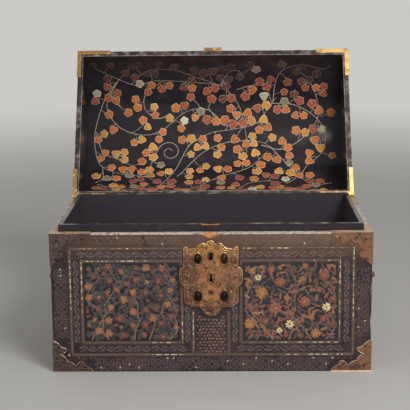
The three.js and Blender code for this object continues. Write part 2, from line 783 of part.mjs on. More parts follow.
// Tongue with an eye for the bolt, riveted through the hasp under an oval head
function haspStaple() {
  const low = slotZ - stapleHeight / 2;
  const high = slotZ + stapleHeight / 2;
  const outerY = haspInnerY - haspThickness - 0.4;
  const tongue = new THREE.Shape();
  tongue.moveTo(outerY, low);
  tongue.lineTo(stapleTipY - stapleRounding, low);
  tongue.quadraticCurveTo(stapleTipY, low, stapleTipY, slotZ);
  tongue.quadraticCurveTo(stapleTipY, high, stapleTipY - stapleRounding, high);
  tongue.lineTo(outerY, high);
  const eyeHalf = boltBarHeight / 2 + eyeClearance;
  const eye = rectangle(
    boltFrontY - eyeClearance, boltFrontY + boltThickness + eyeClearance,
    slotZ - eyeHalf, slotZ + eyeHalf,
  );
  tongue.holes.push(new THREE.Path(eye.getPoints()));
  const body = plate(tongue, stapleWidth, [-stapleWidth / 2, 0, 0], toBack, toTop, toRight);
  const headShape = new THREE.Shape();
  headShape.absellipse(0, slotZ, stapleHeadWidth / 2, stapleHeadHeight / 2, 0, 2 * Math.PI, false, 0);
  const headY = haspInnerY - haspThickness - (stapleHeadThickness - stapleHeadRise);
  const head = plate(headShape, stapleHeadThickness, [0, headY, 0], toRight, toTop, toFront, 8);
  return join(body, head);
}

function makeHasp(lid, hasp) {
  add(lid, "hasp_leaf", haspLeaf(), brightGilt);
  const half = haspLeafWidth / 2;
  add(lid, "hasp_pin", barrel([-half, half], haspPinY, haspPinZ, haspPinRadius), darkCopper);
  add(hasp, "hasp_plate", haspPlate(), brightGilt);
  add(hasp, "hasp_staple", haspStaple(), lockIron);
}

// A round bar whose radius changes along a curve, closed at both ends
function taperedBar(curve, radiusAt, steps, sides) {
  const frames = curve.computeFrenetFrames(steps, false);
  const positions = [];
  for (let i = 0; i <= steps; i++) {
    const t = i / steps;
    const centre = curve.getPointAt(t);
    for (let j = 0; j < sides; j++) {
      const a = (j / sides) * 2 * Math.PI;
      const across = frames.normals[i].clone().multiplyScalar(Math.cos(a) * radiusAt(t));
      const beside = frames.binormals[i].clone().multiplyScalar(Math.sin(a) * radiusAt(t));
      positions.push(...centre.clone().add(across).add(beside).toArray());
    }
  }
  const first = positions.length / 3;
  positions.push(...curve.getPointAt(0).toArray(), ...curve.getPointAt(1).toArray());
  const index = [];
  for (let j = 0; j < sides; j++) {
    const next = (j + 1) % sides;
    for (let i = 0; i < steps; i++) {
      const [a, b] = [i * sides + j, i * sides + next];
      const [c, d] = [a + sides, b + sides];
      index.push(a, b, c, b, d, c);
    }
    index.push(first, next, j);
    index.push(first + 1, steps * sides + j, steps * sides + next);
  }
  const geometry = new THREE.BufferGeometry();
  geometry.setAttribute("position", new THREE.Float32BufferAttribute(positions, 3));
  geometry.setIndex(index);
  geometry.computeVertexNormals();
  return geometry;
}

// Half of the bail's route from its bead in to the middle: how far in from the post, and how far down
const bailRoute = [
  [-7.5, 0], [-3, 0], [3, 0], [7, 1.2], [9.4, 5.4], [9, 14], [7.5, 24], [12, 33.5], [24, 39.5],
];

// Bail that hangs from two posts: its ends pass outwards through the eyes and finish in beads
function bail() {
  const halfRoute = bailRoute.map(([inward, down]) => [handleSpan / 2 - inward, -down]);
  const route = [...halfRoute, [0, -handleDrop], ...halfRoute.map(([y, z]) => [-y, z]).reverse()];
  const curve = new THREE.CatmullRomCurve3(route.map(([y, z]) => new THREE.Vector3(0, y, z)));
  const beadShare = handleBeadLength / curve.getLength();
  const radiusAt = (t) => {
    const fromEnd = Math.min(t, 1 - t);
    if (fromEnd < beadShare) {
      const across = (2 * fromEnd) / beadShare - 1;
      return Math.max(1.2, handleBeadRadius * Math.sqrt(Math.max(0, 1 - across * across)));
    }
    const swell = THREE.MathUtils.smoothstep(fromEnd, ...handleSwell);
    return handleEndRadius + (handleMiddleRadius - handleEndRadius) * swell;
  };
  return taperedBar(curve, radiusAt, 42, 10);
}

// Post with an eye, seen from the end of its bail: u runs out from the chest, v up
function postOutline() {
  const s = new THREE.Shape();
  const foot = mountGap + mountThickness + 0.2;
  const neck = foot + 1.2;
  const eyeTurn = 0.77 * Math.PI;
  s.moveTo(foot, -postFootHalf);
  s.quadraticCurveTo(neck, -postNeckHalf, handleStandoff - 3.6, -3.2);
  s.absarc(handleStandoff, 0, postEyeRadius, -eyeTurn, eyeTurn, false);
  s.quadraticCurveTo(neck, postNeckHalf, foot, postFootHalf);
  s.holes.push(new THREE.Path().absarc(handleStandoff, 0, postBoreRadius, 0, 2 * Math.PI, true));
  return s;
}

function rosetteOutline() {
  const steps = rosetteLobes * 6;
  const points = [];
  for (let i = 0; i < steps; i++) {
    const a = (i / steps) * 2 * Math.PI;
    const lobe = Math.abs(Math.sin((a * rosetteLobes) / 2));
    const r = rosetteRadius * (0.86 + 0.14 * lobe);
    points.push([r * Math.cos(a), r * Math.sin(a)]);
  }
  return polygon(points);
}

function makeHandles(chest, handles) {
  for (const [sideName, sideX, out] of [["left", -1, toLeft], ["right", 1, toRight]]) {
    for (const [depthName, sideY] of [["front", -1], ["back", 1]]) {
      const y = (sideY * handleSpan) / 2;
      const seat = [sideX * (halfWidth + mountGap), y, handleZ];
      const rosette = plate(rosetteOutline(), mountThickness, seat, toBack, toTop, out);
      add(chest, `handle_rosette_${sideName}_${depthName}`, rosette, giltCopper);
      const eye = [sideX * halfWidth, y - postWidth / 2, handleZ];
      const post = plate(postOutline(), postWidth, eye, out, toTop, toBack, 8);
      add(chest, `handle_post_${sideName}_${depthName}`, post, giltCopper);
    }
    const bar = bail();
    bar.translate(sideX * (halfWidth + handleStandoff), 0, handleZ);
    add(handles[sideName], `handle_${sideName}`, bar, giltCopper);
  }
}

// A group whose pieces keep the drawn coordinates but turn about an axis along X through y, z
function turnedGroup(parent, y, z, degrees) {
  const pivot = new THREE.Group();
  pivot.position.set(0, y, z);
  pivot.rotation.x = THREE.MathUtils.degToRad(degrees);
  const drawn = new THREE.Group();
  drawn.position.set(0, -y, -z);
  pivot.add(drawn);
  parent.add(pivot);
  return drawn;
}

function build() {
  const chest = new THREE.Group();
  const bolt = new THREE.Group();
  const handles = { left: new THREE.Group(), right: new THREE.Group() };
  coffer.add(chest, bolt, handles.left, handles.right);
  const lid = turnedGroup(coffer, hingePinY, hingePinZ, -openAngle);
  const hasp = turnedGroup(lid, haspPinY, haspPinZ, -haspFoldAngle);
  makeCarcase(chest);
  makeLinings(chest);
  makeCornerMounts(chest);
  makeLock(chest, bolt);
  makeHandles(chest, handles);
  makeHinges(chest, lid);
  makeLidShell(lid);
  makeLidMounts(lid);
  makeHasp(lid, hasp);
}

build();

export default coffer;
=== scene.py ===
import random
from math import asin, atan2, ceil, copysign, cos, dist, exp, hypot, pi, radians, sin
import bpy
from mathutils import Matrix, Vector


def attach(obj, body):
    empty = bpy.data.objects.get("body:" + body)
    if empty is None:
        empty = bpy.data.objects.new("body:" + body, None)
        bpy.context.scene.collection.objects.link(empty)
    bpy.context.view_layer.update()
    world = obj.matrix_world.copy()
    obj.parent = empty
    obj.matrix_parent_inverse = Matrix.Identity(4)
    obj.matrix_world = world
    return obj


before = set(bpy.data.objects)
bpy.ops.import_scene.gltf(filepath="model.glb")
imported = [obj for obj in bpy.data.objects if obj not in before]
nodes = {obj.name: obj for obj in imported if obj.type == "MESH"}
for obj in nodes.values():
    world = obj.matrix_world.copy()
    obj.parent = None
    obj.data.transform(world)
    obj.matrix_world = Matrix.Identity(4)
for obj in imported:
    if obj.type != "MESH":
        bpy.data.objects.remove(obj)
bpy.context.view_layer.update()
scene = bpy.context.scene
mm = 0.001


def rgb(red, green, blue):
    # a screen colour, 0 to 255, as linear light
    parts = [red / 255, green / 255, blue / 255]
    return tuple(c / 12.92 if c <= 0.04045 else ((c + 0.055) / 1.055) ** 2.4 for c in parts)


# Camera, floor and lamps
view = {
    "place": (0.0266, -1.7802, 0.5679),
    "yaw": -1.18,
    "pitch": -11.19,
    "roll": -0.56,
    "lens": 106.8,
    "sensor": 36,
    "farthest": 200,
}


def newObject(name, data):
    made = bpy.data.objects.new(name, data)
    scene.collection.objects.link(made)
    return made


def makeCamera():
    data = bpy.data.cameras.new("camera")
    data.lens = view["lens"]
    data.sensor_width = view["sensor"]
    data.clip_end = view["farthest"]
    placed = Matrix.Translation(view["place"])
    for axis, degrees in (("Z", -view["yaw"]), ("X", 90 + view["pitch"]), ("Z", view["roll"])):
        placed = placed @ Matrix.Rotation(radians(degrees), 4, axis)
    scene.camera = newObject("camera", data)
    scene.camera.matrix_world = placed


makeCamera()
scene.view_settings.view_transform = "Standard"
print("camera made")


# Node helper
class Wire:
    # One output of a node. Sums on it add Math nodes, and node() adds any other kind.
    def __init__(self, tree, socket=None):
        self.tree = tree
        self.socket = socket

    def node(self, kind, settings=None, sockets=None, out=0):
        made = self.tree.nodes.new(kind)
        for name, value in (settings or {}).items():
            if name == "stops":
                ramp = made.color_ramp.elements
                while len(ramp) < len(value):
                    ramp.new(0.5)
                for stop, (at, colour) in zip(ramp, value):
                    stop.position = at
                    stop.color = (*colour, 1)
            else:
                setattr(made, name, value)
        for name, value in (sockets or {}).items():
            if isinstance(value, Wire):
                self.tree.links.new(value.socket, made.inputs[name])
            elif isinstance(value, tuple) and len(made.inputs[name].default_value) == 4:
                made.inputs[name].default_value = (*value, 1)
            else:
                made.inputs[name].default_value = value
        return Wire(self.tree, made.outputs[out]) if made.outputs else None

    def other(self, name):
        return Wire(self.tree, self.socket.node.outputs[name])

    def parts(self):
        # x, y and z of a vector
        split = self.node("ShaderNodeSeparateXYZ", {}, {0: self})
        return split, split.other("Y"), split.other("Z")

    def sum(self, operation, *values):
        return self.node("ShaderNodeMath", {"operation": operation}, dict(enumerate(values)))

    def size(self):
        # how large this is, without its sign
        return self.sum("ABSOLUTE", self)

    def __add__(self, other):
        return self.sum("ADD", self, other)

    def __sub__(self, other):
        return self.sum("SUBTRACT", self, other)

    def __rsub__(self, other):
        return self.sum("SUBTRACT", other, self)

    def __mul__(self, other):
        return self.sum("MULTIPLY", self, other)

    def __truediv__(self, other):
        return self.sum("DIVIDE", self, other)

    def __gt__(self, other):
        return self.sum("GREATER_THAN", self, other)

    def __lt__(self, other):
        return self.sum("LESS_THAN", self, other)

    __radd__ = __add__
    __rmul__ = __mul__

    def between(self, low, high, start=0.0, end=1.0):
        # eases from start to end as the value goes from low to high
        sockets = {"Value": self, "From Min": low, "From Max": high, "To Min": start, "To Max": end}
        return self.node("ShaderNodeMapRange", {"interpolation_type": "SMOOTHSTEP"}, sockets)

    def near(self, value, reach):
        # 1 where this is the value, fading to 0 at reach from it
        return (self - value).size().between(reach, 0.0)

    def most(self, *others):
        # the largest of this and the others
        largest = self
        for value in others:
            largest = self.sum("MAXIMUM", largest, value)
        return largest

    def blend(self, under, over, how="MIX"):
        # this value says how far under turns to over
        settings = {"data_type": "RGBA", "blend_type": how}
        return self.node("ShaderNodeMix", settings, {0: self, 6: under, 7: over}, 2)

    def noise(self, scale, detail=3.0):
        return self.node("ShaderNodeTexNoise", {}, {"Vector": self, "Scale": scale, "Detail": detail})

    def cells(self, scale, feature="F1"):
        sockets = {"Vector": self, "Scale": scale}
        return self.node("ShaderNodeTexVoronoi", {"feature": feature}, sockets, "Distance")

    def attribute(self, name, out):
        return self.node("ShaderNodeAttribute", {"attribute_name": name}, {}, out)

    def place(self):
        return self.node("ShaderNodeTexCoord", {}, {}, "Object")

    def bump(self, distance, strength):
        return self.node("ShaderNodeBump", {}, {"Height": self, "Distance": distance, "Strength": strength})


def finish(name, make):
    # a material whose surface is what make gives back
    material = bpy.data.materials.new(name)
    material.use_nodes = True
    tree = material.node_tree
    tree.nodes.clear()
    start = Wire(tree)
    start.node("ShaderNodeOutputMaterial", {}, {"Surface": make(start)})
    return material


def principled(start, **sockets):
    return start.node("ShaderNodeBsdfPrincipled", {}, sockets)


room = {
    "pale": (0.60, 0.59, 0.57),
    "soft": (1, 0.99, 0.97),
    "softness": 0.34,
    "floor": (0.56, 0.55, 0.53),
    "floorFade": (1.0, 3.4),
    "floorReach": 40.0,
    "floorHeight": -0.0004,
    "lampsAim": (0, 0, 0.18),
    "lamps": {  # place, size and power
        "key_lamp": ((0.85, -1.5, 1.55), 0.9, 27),
        "fill_lamp": ((-1.5, -1.5, 0.75), 1.6, 7),
    },
}


def floorSkin(start):
    place = start.place()
    away = start.node("ShaderNodeVectorMath", {"operation": "LENGTH"}, {0: place}, "Value")
    speckle = place.noise(9.0)
    tone = speckle.between(0.3, 0.7).blend(room["floor"], tuple(c * 0.97 for c in room["floor"]))
    lit = principled(start, **{"Base Color": tone, "Roughness": 0.75})
    glow = start.node("ShaderNodeEmission", {}, {"Color": room["pale"]})
    return start.node("ShaderNodeMixShader", {}, {0: away.between(*room["floorFade"]), 1: lit, 2: glow})


def makeLamp(name, place, size, power):
    data = bpy.data.lights.new(name, "AREA")
    data.shape = "DISK"
    data.size = size
    data.energy = power
    made = newObject(name, data)
    made.location = place
    made.rotation_euler = (Vector(room["lampsAim"]) - Vector(place)).to_track_quat("-Z", "Y").to_euler()


def makeRoom():
    world = bpy.data.worlds.new("room")
    scene.world = world
    world.use_nodes = True
    world.node_tree.nodes.clear()
    start = Wire(world.node_tree)
    rays = start.node("ShaderNodeLightPath", {}, {}, "Is Camera Ray")
    seen = rays.most(rays.other("Is Glossy Ray"), rays.other("Is Transmission Ray"))
    soft = start.node("ShaderNodeBackground", {}, {"Color": room["soft"], "Strength": room["softness"]})
    pale = start.node("ShaderNodeBackground", {}, {"Color": room["pale"], "Strength": 1.0})
    both = start.node("ShaderNodeMixShader", {}, {0: seen, 1: soft, 2: pale})
    start.node("ShaderNodeOutputWorld", {}, {"Surface": both})
    reach = room["floorReach"]
    turns = [radians(degrees) for degrees in range(0, 360, 6)]
    rim = [(reach * cos(a), reach * sin(a), 0) for a in turns]
    mesh = bpy.data.meshes.new("floor")
    mesh.from_pydata(rim, [], [list(range(len(rim)))])
    mesh.materials.append(finish("floor_paper", floorSkin))
    floor = newObject("floor", mesh)
    floor.location.z = room["floorHeight"]
    for name, given in room["lamps"].items():
        makeLamp(name, *given)


makeRoom()
print("floor and lamps made")

# Sizes of the coffer, in mm
coffer = {
    "halfWidth": 225.0,
    "halfDepth": 128.5,
    "height": 201.0,
    "vaultBack": 189.67,  # axis of the open lid's arc
    "vaultHeight": 321.24,
    "vaultOuter": 129.1,
    "vaultInner": 120.6,
    "lidEndInside": 216.5,
    "rimFromAxis": 12.43,  # from the arc's axis to the level of the rim
    "lidTurn": 120,  # degrees that the lid stands open
}
metres = {name: size * mm for name, size in coffer.items()}
# Where looks change over, in metres
changeAt = {
    "front": -0.1,
    "ledge": 0.202,
    "back": 0.1289,
    "vaultInside": 0.1212,
    "lidEndInside": 0.2175,
    "liningSide": (0.2133, 0.2137),
    "liningFace": (0.1168, 0.1172),
    "top": (0.1998, 0.2004),
    "lip": (0.2110, 0.2119),
    "dippedLip": (0.2097, 0.2106),
    "dipSide": (0.0165, 0.0125),
    "arris": (0.0009, -0.0003),
}


# Lacquers and metals
lacquer = {
    "black": rgb(46, 41, 46),
    # painted light: a paler black for the outer faces of the lining, lifted against the shade inside the
    # chest
    "lining": rgb(72, 66, 72),
    "dusty": rgb(70, 65, 68),
    "hazed": rgb(62, 48, 54),
    "brown": rgb(39, 34, 38),
    "warm": rgb(64, 52, 52),
    "deep": rgb(36, 31, 34),
    "plum": rgb(84, 72, 84),
    "crack": rgb(24, 20, 22),
    "powder": rgb(162, 120, 92),
    "worn": rgb(222, 206, 188),
    "bare": rgb(132, 120, 116),
    "wood": rgb(214, 138, 86),
    "rubbed": (13.0, 4.4, 198.6),  # half width, half height and middle of the patch above the lock
}


def chestWear(place):
    # 1 along the outer arrises of the chest, fading unevenly within a millimetre or two
    x, y, z = place.parts()
    fromSide, fromFace = metres["halfWidth"] - x.size(), metres["halfDepth"] - y.size()
    fromTop = metres["height"] - z
    nearest = x.sum("MINIMUM", fromTop.most(fromFace), fromTop.most(fromSide))
    ragged = place.noise(260.0, 4.0) * 0.0022
    upright = (fromSide.most(fromFace) - ragged).between(*changeAt["arris"])
    upright = upright * place.noise(26.0, 4.0).between(0.52, 0.66)
    top = z.between(*changeAt["top"]) * place.noise(60.0, 5.0).between(0.12, 0.40)
    return top.most(upright, (nearest - ragged).between(*changeAt["arris"]))


def rubbedPatch(place):
    # where hands have rubbed the front down to the wood, above the lock
    halfWide, halfTall, middle = (c * mm for c in lacquer["rubbed"])
    x, y, z = place.parts()
    across, up = x / halfWide, (z - middle) / halfTall
    away = across * across + up * up + place.noise(130.0, 5.0) * 2.4
    return away.between(2.3, 1.2) * (y < changeAt["front"])


def rubbedDip(place):
    # the worn dip in the lip, rubbed down in the same way
    x, y, z = place.parts()
    across = x.size() + place.noise(220.0) * 0.004
    lip = z.between(*changeAt["dippedLip"]) * (y < changeAt["front"])
    return across.between(*changeAt["dipSide"]) * lip * 0.75


def lidRound(place):
    # distance from the axis of the open lid's arc, in metres
    axis = (0, metres["vaultBack"], metres["vaultHeight"])
    shifted = place.node("ShaderNodeVectorMath", {"operation": "SUBTRACT"}, {0: place, 1: axis})
    y, z = shifted.parts()[1:]
    return y.sum("SQRT", y * y + z * z)


def lidWear(place):
    # how far the lacquer has rubbed to its ground: along the arrises of the lid, and faintly on its rim
    x, y, z = place.parts()
    across, away = x.size(), lidRound(place)
    ragged = place.noise(300.0) * 0.0010
    endEdge = (across + ragged).near(metres["halfWidth"], 0.0012)
    endEdge = endEdge * (away + ragged).near(metres["vaultOuter"], 0.0012)
    slope = radians(coffer["lidTurn"])
    behind, above = y - metres["vaultBack"], z - metres["vaultHeight"]
    rim = (behind * sin(slope) + above * cos(slope) - metres["rimFromAxis"]).between(0.0006, 0.0001)
    inner, *others = [
        distance.near(metres[name], changeAt["arris"][0]) for distance, name in (
            (away, "vaultInner"), (away, "vaultOuter"), (across, "lidEndInside"), (across, "halfWidth"),
        )
    ]
    arris = inner.most(*others)
    patch = place.noise(80.0, 5.0)
    faint = patch.between(0.44, 0.72) * 0.38
    return endEdge.most(rim * arris * 0.85) * patch.between(0.26, 0.50) + rim * faint * (1 - arris)


def liningWear(place):
    # the top of the lip is rubbed through here and there
    height = place.parts()[2] - place.noise(260.0) * 0.0008
    return height.between(*changeAt["lip"]) * place.noise(48.0, 5.0).between(0.50, 0.70) * 0.7


def layers(under, *coats):
    # one colour over another, each coat (amount, colour) as far as its amount says
    for amount, colour in coats:
        under = amount.blend(under, colour)
    return under


def lacquerSkin(start, inside, wear, black=lacquer["black"], wood=None):
    # brown-black outside with gold powder, polished black where inside is 1
    inside = start.sum("ADD", inside, 0.0)
    place = start.place()
    x, y, z = place.parts()
    clouds = place.noise(22.0, 5.0)
    fine = place.noise(420.0)
    # painted light: more gold powder and its colour near the top of the chest and towards its right, where
    # the light falls
    topRightLight = z.between(0.150, 0.198) * (z < changeAt["ledge"]) * (y < changeAt["back"])
    topRightLight = topRightLight * x.between(-0.20, 0.20, 0.55, 1.45)
    powder = place.cells(1100.0).between(0.36, 0.14) * (place.noise(70.0) + topRightLight * 0.12).between(0.38, 0.64)
    cracks = place.cells(55.0, "DISTANCE_TO_EDGE").between(0.035, 0.0) * place.noise(16.0).between(0.5, 0.62)
    ground = layers(
        lacquer["brown"],
        (clouds.between(0.32, 0.70), lacquer["warm"]),
        (fine.between(0.35, 0.75, 0.0, 0.45), lacquer["deep"]),
        (place.noise(640.0, 2.0).between(0.50, 0.68) * 0.45, lacquer["plum"]),
        # painted shade: the ground darkens towards the left
        (x.between(-0.10, -0.19) * 0.45, lacquer["deep"]),
        (powder * 0.75 + topRightLight * 0.25, lacquer["powder"]),
        (cracks * 0.7, lacquer["crack"]),
    )
    dust = place.noise(35.0, 6.0).between(0.45, 0.80) * 0.6
    # painted light: besides the dust, the polished black is lifted towards the top of the open lid, against
    # the shade there
    dustAndTopLight = (dust + z.between(0.36, 0.43) * 0.35).most(dust)
    specks = place.cells(260.0).between(0.10, 0.05) * place.noise(33.0).between(0.54, 0.62)
    polished = layers(black, (dustAndTopLight, lacquer["dusty"]), (specks * 0.35, lacquer["worn"]))
    rubbed = wear(place)
    tone = place.noise(150.0, 4.0).between(0.28, 0.58).blend(lacquer["bare"], lacquer["worn"])
    colour = layers(ground, (inside, polished), (rubbed, tone))
    if wood:
        colour = wood(place).blend(colour, lacquer["wood"])
    outsideRough = fine * 0.22 + 0.34
    rough = outsideRough + inside * (dust * 0.28 + 0.15 - outsideRough)
    rough = rough + rubbed * (0.55 - rough)
    sockets = {0: place, 1: (900.0, 40.0, 40.0)}
    scratch = place.node("ShaderNodeVectorMath", {"operation": "MULTIPLY"}, sockets).noise(1.0, 2.0)
    uneven = (clouds * 0.35 + fine * 0.12 - cracks * 0.5) * (1 - inside) + inside * scratch * 0.05
    sockets = {
        "Base Color": colour,
        "Roughness": rough,
        "Specular IOR Level": 0.26,
        "Normal": uneven.bump(0.0005, 0.6),
    }
    return principled(start, **sockets)


def chestOutside(start):
    return lacquerSkin(start, 0.0, chestWear, wood=rubbedPatch)


def chestInside(start):
    x, y = start.place().parts()[:2]
    # painted light: the outer faces of the lining are paler than the polished black, lifted against the
    # shade inside the chest
    outer = x.size().between(*changeAt["liningSide"]).most(y.size().between(*changeAt["liningFace"]))
    black = outer.blend(lacquer["lining"], lacquer["black"])
    return lacquerSkin(start, 1.0, liningWear, black, rubbedDip)


def vaultSkin(start):
    return lacquerSkin(start, lidRound(start.place()) < changeAt["vaultInside"], lidWear)


def lidEndSkin(start):
    across = start.place().parts()[0].size()
    return lacquerSkin(start, across < changeAt["lidEndInside"], lidWear)


metal = {
    "plate": {
        "low": rgb(112, 78, 66), "high": rgb(176, 124, 98), "fleck": rgb(236, 190, 138),
        "flecks": 0.42, "tarnish": 0.30, "chased": 1.0,
        # heights of its crest, foot and fan, and how far its gilding reaches to the sides
        "crest": (0.166, 0.180), "foot": (0.102, 0.090), "fan": (0.107, 0.009), "kept": (0.024, 0.008),
    },
    "mount": {
        "low": rgb(88, 73, 74), "high": rgb(160, 114, 90), "fleck": rgb(200, 164, 132),
        "flecks": 0.20, "tarnish": 0.35, "chased": 0.8,
    },
    "bright": {
        "low": rgb(160, 122, 76), "high": rgb(226, 182, 114), "fleck": rgb(246, 216, 156),
        "flecks": 0.60, "tarnish": 0.20, "chased": 0.2,
    },
    "relief": {
        "low": rgb(186, 140, 98), "high": rgb(236, 192, 140), "fleck": rgb(255, 232, 190),
        "flecks": 0.50, "tarnish": 0.12, "chased": 0.0, "faded": (0.150, 0.118),
    },
    "cream": {
        "low": rgb(188, 160, 138), "high": rgb(234, 208, 178), "fleck": rgb(250, 234, 208),
        "flecks": 0.50, "tarnish": 0.10, "chased": 0.0,
    },
    "boss": {
        "low": rgb(40, 33, 34), "high": rgb(74, 54, 48), "fleck": rgb(180, 128, 90),
        "flecks": 0.05, "tarnish": 0.20, "chased": 0.0,
    },
    "iron": {
        "low": rgb(48, 44, 42), "high": rgb(78, 70, 64), "fleck": rgb(120, 84, 62),
        "flecks": 0.30, "tarnish": 0.50, "chased": 0.0,
    },
    "gold": rgb(218, 146, 96),
    "yellow": rgb(230, 170, 84),
    "rubbed": rgb(204, 174, 138),
    "tarnished": rgb(56, 43, 41),
    "patchesFrom": 0.70,
    "green": rgb(92, 88, 72),
    "front": (-0.100, -0.122),
    "lid": (0.204, 0.206),
    "fold": (0.2019, 0.0009),
}


def sheetMetal(look):
    # patinated copper with what is left of its gilding, chased and ring-punched
    def make(start):
        place = start.place()
        x, y, z = place.parts()
        # painted shade and light: darker to the left and lighter to the right, on the front and on the lid
        where = y.between(*metal["front"]).most(z.between(*metal["lid"]))
        clouds = place.noise(70.0, 5.0) + x.between(-0.21, 0.21, -0.20, 0.10) * where
        fine = place.noise(700.0)
        colour = clouds.between(0.36, 0.64).blend(look["low"], look["high"])
        if "crest" in look:
            # more gilding is left in the middle and up in the crest
            across, crest = x.size(), z.between(*look["crest"])
            kept = across.between(*look["kept"]).most(crest)
            fan = z.near(*look["fan"]) * across.between(0.012, 0.006)
            colour = layers(
                colour,
                (kept * z.between(0.093, 0.101) * 0.5, metal["gold"]),
                (crest.most(fan) * 0.5, metal["yellow"]),
                (z.between(*look["foot"]) * 0.45, metal["tarnished"]),
            )
        if "faded" in look:
            # painted shade: duller towards the foot and the left of the lock plate
            shadedPart = z.between(*look["faded"]).most(x.between(-0.012, -0.040) * 0.6)
            colour = (shadedPart * 0.65).blend(colour, metal["plate"]["low"])
        low = metal["patchesFrom"] - look["flecks"] * 0.22
        gilding = place.noise(230.0, 6.0).between(low, low + 0.12)
        low = metal["patchesFrom"] - look["tarnish"] * 0.30
        tarnish = place.noise(150.0, 5.0).between(low, low + 0.12)
        punch = place.cells(680.0).between(0.42, 0.20)
        scroll = place.noise(150.0, 1.0) * 52.0
        lines = scroll.sum("SINE", scroll).between(0.45, 0.92)
        relief = (punch * 0.35 * (1 - lines) + lines * 0.9) * look["chased"] + fine * 0.15
        # bright where a mount turns over onto the ledge
        folded = z.near(*metal["fold"]) * place.noise(90.0, 4.0).between(0.20, 0.46)
        colour = layers(
            colour,
            (gilding * 0.85, look["fleck"]),
            (tarnish, metal["tarnished"]),
            (place.noise(170.0, 4.0).between(0.66, 0.78) * 0.45, metal["green"]),
            (punch * (1 - lines) * look["chased"] * 0.45, metal["tarnished"]),
            (lines * look["chased"] * 0.30, look["fleck"]),
            (folded * 0.9, metal["rubbed"]),
        )
        sockets = {
            "Base Color": colour,
            "Metallic": (0.90 - tarnish * 0.35) * (1 - folded),
            "Roughness": clouds * 0.20 + fine * 0.10 + 0.26 + tarnish * 0.2,
            "Normal": relief.bump(0.00035, 0.8),
        }
        return principled(start, **sockets)

    return make


materials = {
    "chestOutside": finish("coffer_outside_lacquer", chestOutside),
    "chestInside": finish("coffer_inside_lacquer", chestInside),
    "vault": finish("lid_vault_lacquer", vaultSkin),
    "lidEnd": finish("lid_end_lacquer", lidEndSkin),
    "plateCopper": finish("lock_plate_gilt_copper", sheetMetal(metal["plate"])),
    "giltCopper": finish("worn_gilt_copper", sheetMetal(metal["mount"])),
    "reliefGilt": finish("relief_gilding", sheetMetal(metal["relief"])),
    "creamGilt": finish("rubbed_gilding", sheetMetal(metal["cream"])),
    "brightGilt": finish("bright_gilding", sheetMetal(metal["bright"])),
    "darkCopper": finish("dark_copper", sheetMetal(metal["boss"])),
    "iron": finish("lock_iron_black", sheetMetal(metal["iron"])),
}


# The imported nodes
def roundShading():
    # joins the split faces and shades gentle angles as one curve
    tree = bpy.data.node_groups.new("even_shading", "GeometryNodeTree")
    tree.interface.new_socket("Geometry", in_out="INPUT", socket_type="NodeSocketGeometry")
    tree.interface.new_socket("Geometry", in_out="OUTPUT", socket_type="NodeSocketGeometry")
    start = Wire(tree)
    given = start.node("NodeGroupInput")
    joined = start.node("GeometryNodeMergeByDistance", {}, {"Geometry": given, "Distance": 0.000002})
    plain = start.node("GeometryNodeRemoveAttribute", {}, {"Geometry": joined, "Name": "custom_normal"})
    smooth = start.node("GeometryNodeSetShadeSmooth", {"domain": "FACE"}, {"Geometry": plain})
    bend = start.node("GeometryNodeInputMeshEdgeAngle", {}, {}, "Unsigned Angle")
    sharp = bend.sum("GREATER_THAN", bend, radians(33))
    sockets = {"Geometry": smooth, "Selection": sharp, "Shade Smooth": False}
    creased = start.node("GeometryNodeSetShadeSmooth", {"domain": "EDGE"}, sockets)
    start.node("NodeGroupOutput", {}, {"Geometry": creased})
    return tree


bySlot = {
    "exterior_lacquer": "chestOutside",
    "interior_lacquer": "chestInside",
    "gilt_copper": "giltCopper",
    "bright_gilt": "brightGilt",
    "dark_copper": "darkCopper",
    "lock_iron": "iron",
}
byNode = {
    "lid_vault": "vault",
    "lid_end_left": "lidEnd",
    "lid_end_right": "lidEnd",
    "lock_plate": "plateCopper",
}
shading = roundShading()
for name, node in nodes.items():
    first = node.material_slots[0].material.name.split(".")[0]
    node.material_slots[0].material = materials[byNode.get(name, bySlot[first])]
    node.modifiers.new("even_shading", "NODES").node_group = shading
print("packed nodes finished")


# A sheet gathers raised inlay for one face of the coffer. Its points are (u, v, rise) in mm on that face.
def newSheet(place, blocked=None, lit=()):
    return {
        "place": place,
        "lit": lit,  # spots (u, v, reach, peak) where the shell in its frames shines
        "blocked": blocked or (lambda u, v, room: False),
        "points": [],
        "faces": [],
        "tint": [],
        "kind": [],
        "flat": [],
    }


def addPoint(sheet, u, v, rise, tint, kind=(0, 0, 0), flat=(0, 0)):
    sheet["points"].append(sheet["place"](u, v, rise))
    sheet["tint"].append(tint)
    sheet["kind"].append(kind)  # how near the rim, leaf-like or not, shell or not
    sheet["flat"].append(flat)  # place within a leaf, along and across
    return len(sheet["points"]) - 1


def stepped(u, v, turn, along, across=0.0):
    # the point that far along the angle turn from (u, v), and across it
    return u + along * cos(turn) - across * sin(turn), v + along * sin(turn) + across * cos(turn)


def bridge(faces, rows, closed=False):
    # faces between each row of points and the next
    count = len(rows[0])
    for low, high in zip(rows, rows[1:]):
        for i in range(count if closed else count - 1):
            j = (i + 1) % count
            faces.append((low[i], low[j], high[j], high[i]))


sunk = -0.04  # mm that raised work starts below its face


def addPatch(sheet, u, v, outline, rise, tint, turn=0.0, leafy=0.0, shell=0.0, inner=0.84):
    # a low cushion over an outline of (along, across) points, turned to face the angle turn
    reach = max(hypot(a, b) for a, b in outline)
    rows = []
    for share, height, rim in ((1.0, sunk, 1.0), (0.97, rise * 0.6, 0.98), (inner, rise, 0.72)):
        row = []
        for p, q in [(a * share, b * share) for a, b in outline]:
            at, flat = stepped(u, v, turn, p, q), (p / reach, q / reach)
            row.append(addPoint(sheet, *at, height, tint, (rim, leafy, shell), flat))
        rows.append(row)
    middle = addPoint(sheet, u, v, rise * 1.06, tint, (0, leafy, shell))
    bridge(sheet["faces"], rows, True)
    sheet["faces"] += [(a, b, middle) for a, b in zip(row, row[1:] + row[:1])]


